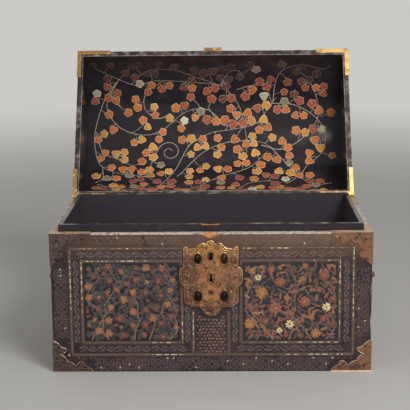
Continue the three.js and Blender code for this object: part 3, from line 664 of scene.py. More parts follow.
def smoothPath(points, step=2.0):
    # an even run of points along a curve through the given ones
    given = [Vector(p) for p in points]
    run = [given[0] * 2 - given[1], *given, given[-1] * 2 - given[-2]]
    path = []
    for a, b, c, d in zip(run, run[1:], run[2:], run[3:]):
        parts = max(2, int((c - b).length / step))
        for i in range(parts):
            t = i / parts
            path.append(
                0.5 * (2 * b + (c - a) * t + (2 * a - 5 * b + 4 * c - d) * t * t
                       + (3 * b - a - 3 * c + d) * t ** 3)
            )
    path.append(given[-1])
    return [(p.x, p.y) for p in path]


def aside(path, i, shift):
    # the point at i of a path, moved by this much to its left
    (u, v), ahead, behind = path[i], path[min(i + 1, len(path) - 1)], path[max(i - 1, 0)]
    du, dv = ahead[0] - behind[0], ahead[1] - behind[1]
    size = hypot(du, dv) or 1.0
    return u - dv / size * shift, v + du / size * shift


def addRibbon(sheet, path, wide, rise, tint, taper=1.0, flatTop=0.0):
    # a raised line along a path; flatTop 0 is rounded, 0.8 is a strip with bevelled edges
    tops = [(flatTop, rise), (-flatTop, rise)] if flatTop else [(0, rise)]
    rows = []
    for i in range(len(path)):
        half = wide / 2 * (1 + (taper - 1) * i / max(len(path) - 1, 1))
        across = [(1, sunk), *tops, (-1, sunk)]
        rows.append([addPoint(sheet, *aside(path, i, half * s), height, tint) for s, height in across])
    bridge(sheet["faces"], rows)


def addMesh(name, body, points, faces, material):
    mesh = bpy.data.meshes.new(name)
    mesh.from_pydata(points, [], faces)
    mesh.materials.append(material)
    for face in mesh.polygons:
        face.use_smooth = True
    mesh.set_sharp_from_angle(angle=radians(50))
    made = newObject(name, mesh)
    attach(made, body)
    return made


def makeSheet(name, body, sheet):
    made = addMesh(name, body, sheet["points"], sheet["faces"], materials["inlay"])
    for key, kind, field, more in (
        ("tint", "FLOAT_COLOR", "color", (1.0,)),
        ("kind", "FLOAT_VECTOR", "vector", ()),
        ("flat", "FLOAT_VECTOR", "vector", (0.0,)),
    ):
        given = made.data.attributes.new(key, kind, "POINT")
        given.data.foreach_set(field, [number for row in sheet[key] for number in (*row, *more)])


shine = [  # the hues of the shell
    (0.30, (0.30, 0.58, 0.36)),
    (0.45, (0.80, 0.78, 0.56)),
    (0.58, (0.95, 0.75, 0.55)),
    (0.72, (0.50, 0.62, 0.72)),
]


def inlaySkin(start):
    # painted, gilded and shell inlay: the tint comes with the piece, its veins, rim and shimmer from here
    place = start.place()
    tint = start.attribute("tint", "Color")
    rim, leafy, shell = start.attribute("kind", "Vector").parts()
    along, across = start.attribute("flat", "Vector").parts()[:2]
    offMiddle = across.size()
    grain = place.noise(900.0)
    colour = grain.between(0.25, 0.75, 0.0, 0.55).blend(tint, (0.55, 0.52, 0.50), "MULTIPLY")
    shade = place.noise(110.0, 4.0).between(0.55, 0.75, 0.0, 0.5)
    colour = shade.blend(colour, (0.30, 0.24, 0.22), "MULTIPLY")
    paler = leafy.blend(tint, (0.62, 0.42, 0.26), "SCREEN")
    colour = (rim.between(0.80, 0.94) * leafy * 0.55).blend(colour, paler)
    wave = (offMiddle * 1.1 - along) * 17.0
    vein = offMiddle.between(0.07, 0.03) + wave.sum("SINE", wave).between(0.86, 0.97) * 0.6
    vein = vein * leafy * rim.between(0.95, 0.80)
    colour = (vein * 0.45).blend(colour, paler)
    hues = start.node("ShaderNodeValToRGB", {"stops": shine}, {"Fac": place.noise(210.0, 2.0)})
    colour = (shell * 0.32).blend(colour, hues, "OVERLAY")
    crazing = place.cells(420.0, "DISTANCE_TO_EDGE").between(0.05, 0.0) * shell
    colour = (crazing * 0.5).blend(colour, (0.05, 0.04, 0.03))
    # painted shade: the vine darkens towards the front rim of the lid
    vineTopShade = (lidRound(place) < changeAt["vaultInside"]) * place.parts()[2].between(0.335, 0.415)
    colour = (vineTopShade * 0.70).blend(colour, lacquer["hazed"])
    raised = grain * 0.4 + vein * 0.7 - crazing * 0.6
    sockets = {
        "Base Color": colour,
        "Roughness": 0.46 + grain * 0.2 - shell * 0.26,
        "Metallic": shell * 0.25,
        "Specular IOR Level": 0.35,
        "Normal": raised.bump(0.0002, 0.5),
    }
    return principled(start, **sockets)


materials["inlay"] = finish("painted_and_shell_inlay", inlaySkin)


# Where (u, v, rise) lies on each face, as seen by someone looking straight at it
def flatFace(along, out, reach):
    along, out = Vector(along), Vector(out)
    return lambda u, v, rise: (along * u + out * (reach + rise) + Vector((0, 0, v))) * mm


onFront = flatFace((1, 0, 0), (0, -1, 0), coffer["halfDepth"])
onBack = flatFace((-1, 0, 0), (0, 1, 0), coffer["halfDepth"])
onLeft = flatFace((0, -1, 0), (-1, 0, 0), coffer["halfWidth"])
onRight = flatFace((0, 1, 0), (1, 0, 0), coffer["halfWidth"])


def onArc(u, v, radius):
    # v runs round the arc of the open lid, measured on its inner face
    angle = v / coffer["vaultInner"]
    return Vector((
        u, coffer["vaultBack"] + radius * cos(angle), coffer["vaultHeight"] + radius * sin(angle),
    )) * mm


def onVaultInside(u, v, rise):
    return onArc(u, v, coffer["vaultInner"] - rise)


def onCover(u, v, rise):
    # v runs from the front rim over the crown to the back
    return onArc(u, -v, coffer["vaultOuter"] + rise)


def onLidEnd(side):
    # u runs along the shut lid to the back, v up from its arc's axis
    opened = Matrix.Rotation(-radians(coffer["lidTurn"]), 3, "X")
    middle = Vector((0, coffer["vaultBack"], coffer["vaultHeight"]))

    def place(u, v, rise):
        turned = opened @ Vector((0, side * u, v))
        return (middle + turned + Vector((side * (coffer["halfWidth"] + rise), 0, 0))) * mm

    return place


def ring(count, radius, wave=0.0, lobes=5, squash=1.0, point=0.0):
    # a closed outline with wavy lobes
    outline = []
    for i in range(count):
        a = 2 * pi * i / count
        r = radius * (1 - wave + wave * abs(cos(a * lobes / 2)))
        r *= 1 + point * max(0.0, cos(a)) ** 6
        outline.append((r * cos(a), r * sin(a) * squash))
    return outline


def leafShape(radius, dice):
    # a broad vine leaf with three or five pointed lobes and a notch where the stalk joins
    lobes, depth = dice.choice(((3, 0.25), (5, 0.18), (5, 0.18)))
    outline = []
    for i in range(36):
        a = 2 * pi * i / 36
        notch = exp(-(((pi - a) / 0.3) ** 2))
        r = radius * (1 - depth * abs(sin(a * lobes / 2)) ** 1.3 - 0.30 * notch)
        outline.append((r * cos(a), r * sin(a)))
    return outline


# The vine inside the lid, drawn on the arc: u to the right, v up round the arc, both in mm
vine = {
    "seed": 11,
    "left": -204,
    "right": 204,
    "low": -214,
    "high": 90,
    "stemWidth": 1.4,
    "stalkWidth": 1.0,
    "edgeWidth": 1.35,
    "leafRadius": (7.0, 8.4),
    "leafApart": 15.2,
    "shootsApart": 23.2,
    "together": (1, 2, 2, 2, 3),
    "fillTries": 2000,
    "footFrom": -118,  # below this the shoots stand a little closer
    "stem": rgb(228, 208, 186),
    "edge": rgb(236, 204, 168),
    "tints": {
        "gold": rgb(238, 166, 74),
        "orange": rgb(226, 124, 54),
        "red": rgb(192, 88, 58),
        "crimson": rgb(164, 62, 60),
        "dull": rgb(126, 66, 62),
        "dim": rgb(80, 56, 62),
        "shell": rgb(160, 156, 132),
        "bright": rgb(226, 222, 204),
    },
    "bands": [  # from this height up, the tints that its leaves are drawn from
        (-220, ("orange", "red", "gold", "crimson", "red", "orange", "crimson")),
        (-126, ("gold", "orange", "gold", "orange")),
        (-34, ("orange", "gold", "orange", "red")),
        (16, ("red", "orange", "red", "dull")),
        (52, ("dull", "dim", "dim")),
    ],
    "stems": [
        # the great arc on the left with the arcs inside it
        [(-160, 58), (-186, 22), (-203, -26), (-205, -62), (-192, -102), (-152, -122), (-110, -128)],
        [(-203, -40), (-190, -74), (-160, -90), (-132, -108), (-128, -130)],
        [(-162, 56), (-184, 10), (-166, -26), (-128, -42), (-92, -36), (-50, -4), (-16, 2), (8, -12)],
        [(-162, 56), (-176, 28), (-160, 6)],
        # the top run and its hooks
        [(-200, 80), (-170, 62), (-134, 46), (-96, 54), (-30, 50), (14, 42), (44, 6), (56, -46), (56, -84)],
        [(-136, 58), (-104, 76), (-66, 76), (-28, 60), (6, 46)],
        [(-88, 52), (-116, 30), (-118, 2), (-96, -14), (-76, -8), (-68, -22)],
        [(12, 44), (26, 70), (42, 74), (52, 60)],
        # low stems rising to the right
        [(-92, -158), (-66, -112), (-42, -62), (-6, -40), (30, -34), (72, -24), (94, 2), (108, 22)],
        [(-62, -128), (-22, -78), (26, -56), (78, -56), (98, -66)],
        [(-36, -170), (6, -132), (58, -108), (92, -74)],
        [(-8, 2), (16, -26), (34, -22), (48, -6)],
        # the right half
        [(34, -22), (62, 0), (96, 10), (138, 8), (176, -14), (192, -44), (184, -78), (158, -104),
         (150, -136), (176, -158)],
        [(82, -62), (116, -70), (150, -52), (176, -22), (180, 8), (164, 52), (142, 74)],
        [(102, 12), (106, 48), (118, 74), (148, 86), (186, 76), (198, 84)],
        [(40, 36), (68, 44), (90, 40), (100, 12)],
        [(98, -66), (122, -96), (140, -128), (120, -154)],
        [(-93, -64), (-102, -82), (-110, -106), (-126, -128)],
        # foot of the vine, nearly edge on in the front view
        [(-196, -150), (-150, -172), (-96, -168), (-50, -190), (0, -182)],
        [(198, -150), (150, -164), (96, -182), (40, -176), (0, -190), (-60, -204)],
        [(40, -176), (58, -150), (92, -142), (110, -150)],
        [(-190, -104), (-188, -132), (-200, -146)],
    ],
    "curl": (-76, -74, 19.5),
    "fans": [  # turns of one, two or three leaves at the end of a shoot, and how far out they stand
        ((0.0,), 0.6),
        ((-1.0, 1.0), 1.16),
        ((-1.75, 0.0, 1.75), 1.20),
    ],
}


def curl(u, v, size, turns=1.35, start=2.6, way=-1):
    # a tendril that winds in on itself
    steps = [i / 30 for i in range(31)]
    return [stepped(u, v, start + way * t * turns * 2 * pi, size * (1 - 0.78 * t)) for t in steps]


def vineTint(v, dice):
    # dim red under the rim, gold and orange in the middle of the vault, mixed at its foot
    pick = dice.random()
    if pick < 0.085:
        return vine["tints"]["bright" if pick < 0.02 else "shell"], 1.0
    wanted = [names for low, names in vine["bands"] if v + dice.uniform(-8, 8) > low][-1]
    lift = dice.uniform(0.84, 1.1)
    return tuple(min(1.0, c * lift) for c in vine["tints"][dice.choice(wanted)]), 0.0


def makeVine(place, name, body, rise=0.30):
    dice = random.Random(vine["seed"])
    sheet = newSheet(place)
    stems = [smoothPath(points, 2.6) for points in vine["stems"]]
    for path in stems + [smoothPath(curl(*vine["curl"]), 2.0)]:
        addRibbon(sheet, path, vine["stemWidth"], rise * 0.75, vine["stem"], 0.7)
    leaves, tips = [], []

    def roomFor(u, v):
        inside = vine["left"] < u < vine["right"] and vine["low"] < v < vine["high"]
        curlU, curlV, curlSize = vine["curl"]
        clear = hypot(u - curlU, v - curlV) > curlSize + 9
        return inside and clear and all(hypot(u - a, v - b) > vine["leafApart"] for a, b in leaves)

    def leafAt(u, v, turn, radius):
        leaves.append((u, v))
        tint, shell = vineTint(v, dice)
        outline = leafShape(radius * dice.uniform(0.92, 1.06), dice)
        turn += dice.uniform(-0.3, 0.3)
        addPatch(sheet, u, v, outline, rise, tint, turn, 1.0 - shell * 0.7, shell)
        edge = [stepped(u, v, turn, a, b) for a, b in outline]
        pale = tuple(0.75 * a * (0.2 + sum(tint)) + 0.3 * b for a, b in zip(vine["edge"], tint))
        addRibbon(sheet, edge + edge[:1], vine["edgeWidth"], rise * 1.1, pale)

    def shoot(u, v, heading, reach):
        # a side shoot that ends in touching leaves, as many as there is room for
        tip = stepped(u, v, heading, reach)
        apart = vine["shootsApart"] * (0.86 if tip[1] < vine["footFrom"] else 1.0)
        if any(hypot(tip[0] - a, tip[1] - b) < apart for a, b in tips):
            return
        radius = dice.uniform(*vine["leafRadius"])
        for count in range(dice.choice(vine["together"]), 0, -1):
            spread, away = vine["fans"][count - 1]
            turns = [heading + s for s in spread]
            ends = [stepped(*tip, turn, away * radius) for turn in turns]
            if not all(roomFor(a, b) for a, b in ends):
                continue
            bend = stepped((u + tip[0]) / 2, (v + tip[1]) / 2, heading, 0, dice.uniform(-2.0, 2.0))
            for stalk in (smoothPath([(u, v), bend, tip], 1.6), *([tip, leafEnd] for leafEnd in ends)):
                addRibbon(sheet, stalk, vine["stalkWidth"], rise * 0.6, vine["stem"])
            tips.append(tip)
            for (a, b), turn in zip(ends, turns):
                leafAt(a, b, turn, radius)
            return

    for path in stems:
        for i in range(4, len(path) - 2, 7):
            u, v = path[i]
            du, dv = path[i + 1][0] - path[i - 1][0], path[i + 1][1] - path[i - 1][1]
            side = (1 if (i // 7) % 2 else -1) * dice.uniform(0.7, 1.4)
            shoot(u, v, atan2(dv, du) + side, dice.uniform(5, 13))
    for _ in range(vine["fillTries"]):
        shoot(*dice.choice(dice.choice(stems)), dice.uniform(0, 2 * pi), dice.uniform(6, 24))
    print("vine leaves:", len(leaves))
    makeSheet(name, body, sheet)


makeVine(onVaultInside, "lid_vine", "lid")
print("vine inside the lid made")


# Panels, borders and bands of the outside
trim = {
    "seed": 23,
    "frameWidth": 3.8,
    "frameRise": 0.16,
    "frameBand": 2.5,
    "lineWidth": 0.5,
    "frame": rgb(58, 47, 46),
    "frameGold": rgb(118, 97, 84),
    "frameLine": rgb(122, 102, 94),
    "dotApart": 4.2,
    "dot": (1.55, 0.75),  # half its length and width
    "shell": [rgb(118, 96, 82), rgb(186, 146, 92), rgb(252, 238, 198)],  # from dull to lit
    "latticePitch": 9.0,
    "lattice": rgb(124, 107, 103),
    "latticeDot": rgb(148, 122, 110),
    "chips": 0.085,  # share of the places in the lattice with a chip of shell, and with a chip or a dot
    "dots": 0.75,
    "chip": rgb(222, 210, 186),
    "chipShape": [(-1.6, -0.9), (1.3, -0.8), (1.7, 0.8), (-1.2, 0.9)],
    "scroll": rgb(130, 114, 110),
    "buds": [(0.0, -0.62), (-0.34, 0.30), (0.36, 0.42), (0.24, -0.40), (-0.30, -0.66)],
    "small": [rgb(150, 116, 100), rgb(132, 98, 88), rgb(120, 94, 86), rgb(104, 86, 82), rgb(144, 110, 92)],
    "inset": 3.4,
    "cornerMount": ((59, 17), (21, 48), (33, 27, 44)),
}


def addStrip(sheet, dice, path):
    # an inlaid strip with a fine line each side and shell pieces along its middle
    edge, lifted = trim["frameWidth"] / 2, trim["frameRise"] + 0.06
    for shift, wide, rise, tint in (
        (0, trim["frameWidth"], trim["frameRise"], trim["frame"]),
        (0, trim["frameBand"], lifted, trim["frameGold"]),
        (-edge, trim["lineWidth"], lifted, trim["frameLine"]),
        (edge, trim["lineWidth"], lifted, trim["frameLine"]),
    ):
        run = []
        for i in range(len(path)):
            u, v = aside(path, i, shift)
            stopped = sheet["blocked"](u, v, 1.5)
            if not stopped:
                run.append((u, v))
            if stopped or i == len(path) - 1:
                if len(run) > 1:
                    addRibbon(sheet, run, wide, rise, tint, 1.0, 0.7)
                run = []
    half, wide = trim["dot"]
    shape = [(-half, -wide), (half * 0.9, -wide), (half, wide * 0.9), (-half * 0.9, wide)]
    dull, middling, full = trim["shell"]
    lit, walked = dice.random(), 0.0
    for (u0, v0), (u1, v1) in zip(path, path[1:]):
        walked += hypot(u1 - u0, v1 - v0)
        if walked < trim["dotApart"]:
            continue
        walked -= trim["dotApart"]
        lit = 0.80 * lit + 0.20 * dice.random() + dice.uniform(-0.13, 0.13)
        if sheet["blocked"](u1, v1, 2.0) or dice.random() < 0.06:
            continue
        glow = (lit - 0.62) * 4.0
        if sheet["lit"]:
            glow = max(peak - dist((u1, v1), (a, b)) / reach for a, b, reach, peak in sheet["lit"])
            glow = glow * 2.2 + dice.uniform(-1.0, 0.4)
        bright = max(0.0, min(1.0, glow))
        low, high, past = (dull, middling, 0) if bright < 0.5 else (middling, full, 1)
        tint = tuple(a + (b - a) * (bright * 2 - past) for a, b in zip(low, high))
        turn = atan2(v1 - v0, u1 - u0)
        addPatch(sheet, u1, v1, shape, trim["frameRise"] + 0.10, tint, turn, 0, 0.25 + 0.75 * bright)


def straight(start, end, step=3.0):
    parts = max(1, round(dist(start, end) / step))
    return [tuple(a + (b - a) * i / parts for a, b in zip(start, end)) for i in range(parts + 1)]


def addFrame(sheet, dice, box, sides="lrbt"):
    left, right, low, high = box
    runs = {
        "l": ((left, low), (left, high)),
        "r": ((right, low), (right, high)),
        "b": ((left, low), (right, low)),
        "t": ((left, high), (right, high)),
    }
    for side in sides:
        addStrip(sheet, dice, straight(*runs[side]))


def addLattice(sheet, dice, box, within):
    # diamond diaper in the border of a face, where within says no
    left, right, low, high = box
    step = trim["latticePitch"] / 2
    rows = int((high - low) / step) + 1
    columns = int((right - left) / step) + 1
    startU = (left + right) / 2 - int((right - left) / trim["latticePitch"]) * step

    def outside(u, v, room):
        beyond = u < left + room or u > right - room or v < low + room or v > high - room
        return beyond or within(u, v, room) or sheet["blocked"](u, v, room)

    for i in range(columns + 1):
        for j in range(rows + 1):
            u, v = startU + i * step, low + j * step
            if (i + j) % 2:
                if not outside(u, v, 1.4):
                    chance = dice.random()
                    if chance < trim["chips"]:
                        turn = dice.uniform(0, 3)
                        addPatch(sheet, u, v, trim["chipShape"], 0.16, trim["chip"], turn, 0, 1.0)
                    elif chance < trim["dots"]:
                        addPatch(sheet, u, v, ring(8, 0.95, 0.3, 4), 0.13, trim["latticeDot"], 0.4)
                continue
            for du, dv in ((step, step), (step, -step)):
                if dice.random() < 0.07 or outside(u + du / 2, v + dv / 2, 1.6):
                    continue
                addRibbon(sheet, [(u, v), (u + du, v + dv)], 0.8, 0.13, trim["lattice"])


def addScroll(sheet, dice, start, end, halfWidth):
    # a wave with a tendril curled into every lobe and small buds beside it
    (u0, v0), (u1, v1) = start, end
    length = hypot(u1 - u0, v1 - v0)
    lobes = max(2, round(length / (halfWidth * 2.3)))
    along = ((u1 - u0) / length, (v1 - v0) / length)
    lobe = length / lobes

    def at(t, s):
        return (u0 + along[0] * t - along[1] * s, v0 + along[1] * t + along[0] * s)

    def drawn(path, least, wide, rise, taper):
        path = [p for p in path if not sheet["blocked"](*p, 1.0)]
        if len(path) > least:
            addRibbon(sheet, path, wide, rise, trim["scroll"], taper)

    steps = [(lobe * i / 8, halfWidth * 0.74 * sin(pi * i / 8)) for i in range(lobes * 8 + 1)]
    drawn([at(*step) for step in steps], 2, 1.0, 0.16, 1.0)
    for k in range(lobes):
        side = -1 if k % 2 else 1
        middle, size = lobe * (k + 0.5), halfWidth * 0.58
        path = []
        for t in [i / 16 for i in range(17)]:
            a, r = pi * (1.05 - 2.2 * t), size * (1 - 0.74 * t)
            path.append(at(middle + r * cos(a), side * (r * sin(a) - halfWidth * 0.05)))
        drawn(path, 3, 0.95, 0.15, 0.75)
        for shiftT, shiftS in trim["buds"]:
            u, v = at(middle + shiftT * lobe, side * shiftS * halfWidth)
            if not sheet["blocked"](u, v, 1.5):
                turn = dice.uniform(0, 6.28)
                addPatch(sheet, u, v, ring(9, 1.3, 0.2, 3, 0.6, 0.3), 0.15, trim["scroll"], turn)


# The two kinds of picture panel: blossoming branches among fans of leaves, and larger flowers
picture = {
    "fruit": {
        "ground": rgb(36, 31, 35),
        "leaf": [
            rgb(76, 74, 70), rgb(62, 64, 72), rgb(90, 76, 70), rgb(52, 47, 50), rgb(66, 68, 60),
            rgb(58, 56, 68),
        ],
        "leafSize": 4.5,
        "squash": (0.60, 0.95),
        "branchApart": 26,
    },
    "flowers": {
        "ground": rgb(50, 44, 48),
        "leaf": [
            rgb(150, 102, 80), rgb(126, 90, 78), rgb(100, 78, 74), rgb(66, 60, 68), rgb(86, 76, 78),
            rgb(114, 78, 68),
        ],
        "leafSize": 4.8,
        "squash": (0.34, 0.60),
        "branchApart": 24,
    },
    "fullSize": 15600,  # square millimetres that the counts of leaves and flowers are given for
    "leaves": 3400,
    "bloom": [rgb(160, 96, 74), rgb(140, 84, 70), rgb(172, 112, 76), rgb(140, 72, 66), rgb(116, 76, 72)],
    "stamens": rgb(190, 140, 96),
    "branch": rgb(152, 126, 112),
    "shell": rgb(246, 226, 170),
    "heart": rgb(120, 84, 60),
    "flower": [rgb(166, 100, 68), rgb(180, 122, 74), rgb(140, 84, 68), rgb(156, 94, 68), rgb(126, 80, 70)],
}


def addGround(sheet, box, tint):
    # the darker lacquer that a picture stands on, in rows that follow an arched or round-topped face
    left, right, low, high = box
    rows = ceil((high - low) / 3)
    pairs = []
    for j in range(rows + 1):
        v = low + (high - low) * j / rows
        free = [u for u in straight((left, v), (right, v), 0.5) if not sheet["blocked"](*u, -2)]
        if free:
            pairs.append([addPoint(sheet, *free[end], 0.04, tint) for end in (0, -1)])
    bridge(sheet["faces"], pairs)


def held(value, low, high):
    return min(max(value, low), high)


def addBranches(sheet, box, dice, count):
    # crooked branches that climb the panel, with side shoots
    left, right, low, high = box
    for k in range(count):
        u = left + (right - left) * (k + dice.uniform(0.25, 0.75)) / count
        v = low + 1
        points = [(u, v)]
        lean = dice.uniform(-0.5, 0.5)
        while v < high - 16:
            step = dice.uniform(10, 17)
            lean = 0.4 * lean + dice.uniform(-0.75, 0.75)
            u = held(u + step * sin(lean), left + 4, right - 4)
            v += step * cos(lean)
            points.append((u, v))
        addRibbon(sheet, smoothPath(points, 2.4), 2.1, 0.44, picture["branch"], 0.5)
        for u, v in points[1:]:
            side = dice.choice((-1, 1))
            reach = dice.uniform(9, 16)
            endU = held(u + side * reach, left + 3, right - 3)
            endV = min(v + dice.uniform(5, 13), high - 3)
            bend = ((u + endU) / 2 + side * 2, (v + endV) / 2 - 2)
            shoot = smoothPath([(u, v), bend, (endU, endV)], 2.4)
            addRibbon(sheet, shoot, 1.2, 0.42, picture["branch"], 0.6)


def scatter(sheet, box, apart, tries, dice, taken, room):
    # seeded points at least apart from each other and from those taken, clear of what blocks the face
    left, right, low, high = shrink(box, room)
    found = []
    for _ in range(tries):
        u, v = dice.uniform(left, right), dice.uniform(low, high)
        clear = all(hypot(u - a, v - b) > (apart + r) / 2 for a, b, r in taken)
        if clear and not sheet["blocked"](u, v, room + 1):
            taken.append((u, v, apart))
            found.append((u, v))
    return found


def addLeaves(sheet, box, dice, size, tints, squash, tries):
    # leaves that overlap like tiles, each at its own height
    for u, v in scatter(sheet, box, size * 1.25, tries, dice, [], size * 0.8):
        fan = dice.choice((3, 5, 6))
        outline = ring(14, size * dice.uniform(0.75, 1.2), 0.14, fan, dice.uniform(*squash), 0.25)
        addPatch(sheet, u, v, outline, dice.uniform(0.10, 0.30), dice.choice(tints), dice.uniform(0, 6), 0.5)


def addBlossom(sheet, u, v, radius, tint, dice, petals=5, shell=0.0, long=0.56, plump=1.7):
    # a flower of separate petals round a stamened heart, a little uneven as inlay is
    turn = dice.uniform(0, 6)
    for k in range(petals):
        a = turn + 2 * pi * (k + dice.uniform(-0.18, 0.18)) / petals
        size = radius * long * dice.uniform(0.76, 1.08)
        squash = min(0.96, plump * pi * (radius - size) / (petals * size))
        outline = ring(10, size, 0.06, 3, squash, 0.12)
        shade = dice.uniform(0.68, 1.14)
        petal = tuple(c * shade for c in tint)
        middle = stepped(u, v, a, radius - size)
        addPatch(sheet, *middle, outline, 0.44 + 0.03 * (k % 2), petal, a, 0.55, shell)
    addPatch(sheet, u, v, ring(8, radius * 0.22, 0.2, 4), 0.54, picture["heart" if shell else "stamens"])


def startPanel(sheet, dice, box, look):
    # ground, leaves and branches of a picture; gives back how its size compares with a front panel's
    share = (box[1] - box[0]) * (box[3] - box[2]) / picture["fullSize"]
    addGround(sheet, box, look["ground"])
    tries = round(picture["leaves"] * share)
    addLeaves(sheet, box, dice, look["leafSize"], look["leaf"], look["squash"], tries)
    addBranches(sheet, box, dice, round((box[1] - box[0]) / look["branchApart"]))
    return share


def addFruitPanel(sheet, dice, box, seed=None):
    dice = random.Random(seed) if seed else dice
    share = startPanel(sheet, dice, box, picture["fruit"])
    taken = []
    for u, v in scatter(sheet, box, 14.4, round(700 * share), dice, taken, 5.0):
        radius, tint = dice.uniform(3.8, 6.2), dice.choice(picture["bloom"])
        addBlossom(sheet, u, v, radius, tint, dice, dice.choice((4, 5, 6)))
    for u, v in scatter(sheet, box, 7.6, round(170 * share), dice, taken, 3.4):
        outline = ring(12, dice.uniform(2.4, 3.4), 0.12, 5, dice.uniform(0.7, 0.95))
        addPatch(sheet, u, v, outline, 0.46, dice.choice(picture["bloom"]), dice.uniform(0, 6), 0.3)


def addFlowerPanel(sheet, dice, box, seed=None, shells=()):
    dice = random.Random(seed) if seed else dice
    share = startPanel(sheet, dice, box, picture["flowers"])
    taken = []
    for u, v, radius in shells:
        taken.append((u, v, 2 * radius))
        addBlossom(sheet, u, v, radius, picture["shell"], dice, 8, 0.8, 0.46, 1.1)
    for u, v in scatter(sheet, box, 29.0, round(60 * share), dice, taken, 8.0):
        tint = dice.choice(picture["flower"][:4])
        radius = dice.uniform(6.4, 9.4)
        addBlossom(sheet, u, v, radius, tint, dice, dice.choice((8, 9, 11)), 0.0, 0.40, 1.3)
        addBlossom(sheet, u, v, radius * 0.58, tuple(c * 1.2 for c in tint), dice, 6, 0.0, 0.5, 1.2)
    for u, v in scatter(sheet, box, 14.0, round(300 * share), dice, taken, 5.0):
        petals = dice.choice((4, 5, 6))
        addBlossom(sheet, u, v, dice.uniform(3.8, 5.8), dice.choice(picture["flower"]), dice, petals)
    for u, v in scatter(sheet, box, 6.2, round(620 * share), dice, taken, 3.6):
        outline = ring(12, dice.uniform(2.8, 5.0), 0.0, 3, dice.uniform(0.34, 0.55), 0.4)
        tint = dice.choice(picture["flower"] + picture["flowers"]["leaf"][:2])
        addPatch(sheet, u, v, outline, 0.36, tint, dice.gauss(0, 0.6), 0.6)


def addSmallPattern(sheet, dice, box):
    # close rows of florets and dots under the lock plate
    left, right, low, high = box
    pitch = 5.4
    for j in range(int((high - low) / (pitch * 0.86))):
        for i in range(int((right - left) / pitch)):
            u = left + (i + 0.6 + 0.5 * (j % 2)) * pitch + dice.uniform(-0.7, 0.7)
            v = low + (j + 0.5) * pitch * 0.86 + dice.uniform(-0.7, 0.7)
            if u > right - 1 or sheet["blocked"](u, v, 2.5):
                continue
            warm = dice.choice(trim["small"])
            addPatch(sheet, u, v, ring(15, 1.9, 0.38, 5), 0.18, warm, dice.uniform(0, 6))
            if dice.random() < 0.5:
                addPatch(sheet, u + pitch / 2, v + 0.8, ring(6, 0.6), 0.14, trim["small"][0])


def decorate(body, place, blocked, dice, steps, lit=()):
    # each step (piece, function, values) adds one kind of work to the piece that it names
    sheets = {}
    for name, add, *given in steps:
        sheet = sheets.setdefault(name, newSheet(place, blocked, lit))
        add(sheet, dice, *given)
    for name, sheet in sheets.items():
        makeSheet(name, body, sheet)


def shrink(box, by):
    return (box[0] + by, box[1] - by, box[2] + by, box[3] - by)


def inFrame(box):
    # a test for what lies inside a frame or under its strips
    left, right, low, high = shrink(box, -3)
    return lambda u, v, room: left - room < u < right + room and low - room < v < high + room


def underMount(a, b, arms, room):
    # under a cusped corner mount, a and b from the edges: two arms and the lobe in their angle
    (longA, longB), (tallA, tallB), (lobeA, lobeB, both) = arms
    inArms = (a < longA + room and b < longB + room) or (a < tallA + room and b < tallB + room)
    return inArms or (a < lobeA + room and b < lobeB + room and a + b < both + room)


def chestCorner(u, v, halfLong, room):
    return underMount(halfLong - abs(u), min(v, coffer["height"] - v), trim["cornerMount"], room)


front = {
    "face": (-223.5, 223.5, 1.5, 199.5),
    "outer": (-198, 199.5, 24.8, 179.5),
    "left": (-182, -41, 42.6, 161.6),
    "right": (42, 180.5, 42.6, 161.6),
    "middle": (-25.6, 24.6, 25.5, 179.0),
    # bright flowers of the right panel
    "shells": [(110, 69, 6.4), (162, 94, 6.6), (66, 137, 5.0), (96, 60, 4.4)],
    "lit": [  # where the shell in the frames catches the light
        (-116, 161.6, 32, 1), (-182, 130, 90, 0.7), (96, 179.5, 16, 1), (199.5, 172, 14, 1),
        (155, 24.8, 40, 1), (-64, 24.8, 30, 1), (-25.6, 66, 50, 0.8), (180.5, 130, 80, 0.7),
        (50, 179.5, 20, 0.8), (199.5, 100, 130, 0.6), (-198, 120, 90, 0.5), (110, 42.6, 120, 0.5),
    ],
    "panelSeeds": (5, 8),
    "pattern": (-22.6, 21.6, 27, 84),
    "plateFoot": 81.5,
    # half widths of the lock plate between two heights, the first that fits
    "plate": [(124, 155, 45.5), (97, 999, 39.5), (89, 999, 28.5), (-999, 999, 12.0)],
}


def frontBlocked(u, v, room):
    wide = next(half for low, high, half in front["plate"] if low < v < high)
    onPlate = abs(u) < wide + room and v > front["plateFoot"] - room
    return onPlate or chestCorner(u, v, coffer["halfWidth"], room)


def scrollsRound(panel, side):
    # the four bands of scroll round a front panel, side 0 on the left and 1 on the right
    left, right, low, high = front[panel]
    outer, middle = front["outer"], front["middle"]
    for v in ((high + outer[3]) / 2, (low + outer[2]) / 2):
        yield "front_scroll_bands", addScroll, (left - 6, v), (right + 6, v), 5.4
    for u in ((outer[side] + front[panel][side]) / 2, (middle[side] + front[panel][1 - side]) / 2):
        yield "front_scroll_bands", addScroll, (u, low), (u, high), 4.8


leftSeed, rightSeed = front["panelSeeds"]
decorate("chest", onFront, frontBlocked, random.Random(trim["seed"]), [
    *(("front_borders", addFrame, front[name]) for name in ("outer", "left", "right")),
    ("front_borders", addFrame, front["middle"], "lr"),
    ("front_borders", addLattice, front["face"], inFrame(front["outer"])),
    *scrollsRound("left", 0),
    *scrollsRound("right", 1),
    ("front_left_panel", addFruitPanel, shrink(front["left"], trim["inset"]), leftSeed),
    ("front_right_panel", addFlowerPanel, shrink(front["right"], trim["inset"]), rightSeed, front["shells"]),
    ("front_middle_pattern", addSmallPattern, front["pattern"]),
], front["lit"])
print("front decorated")


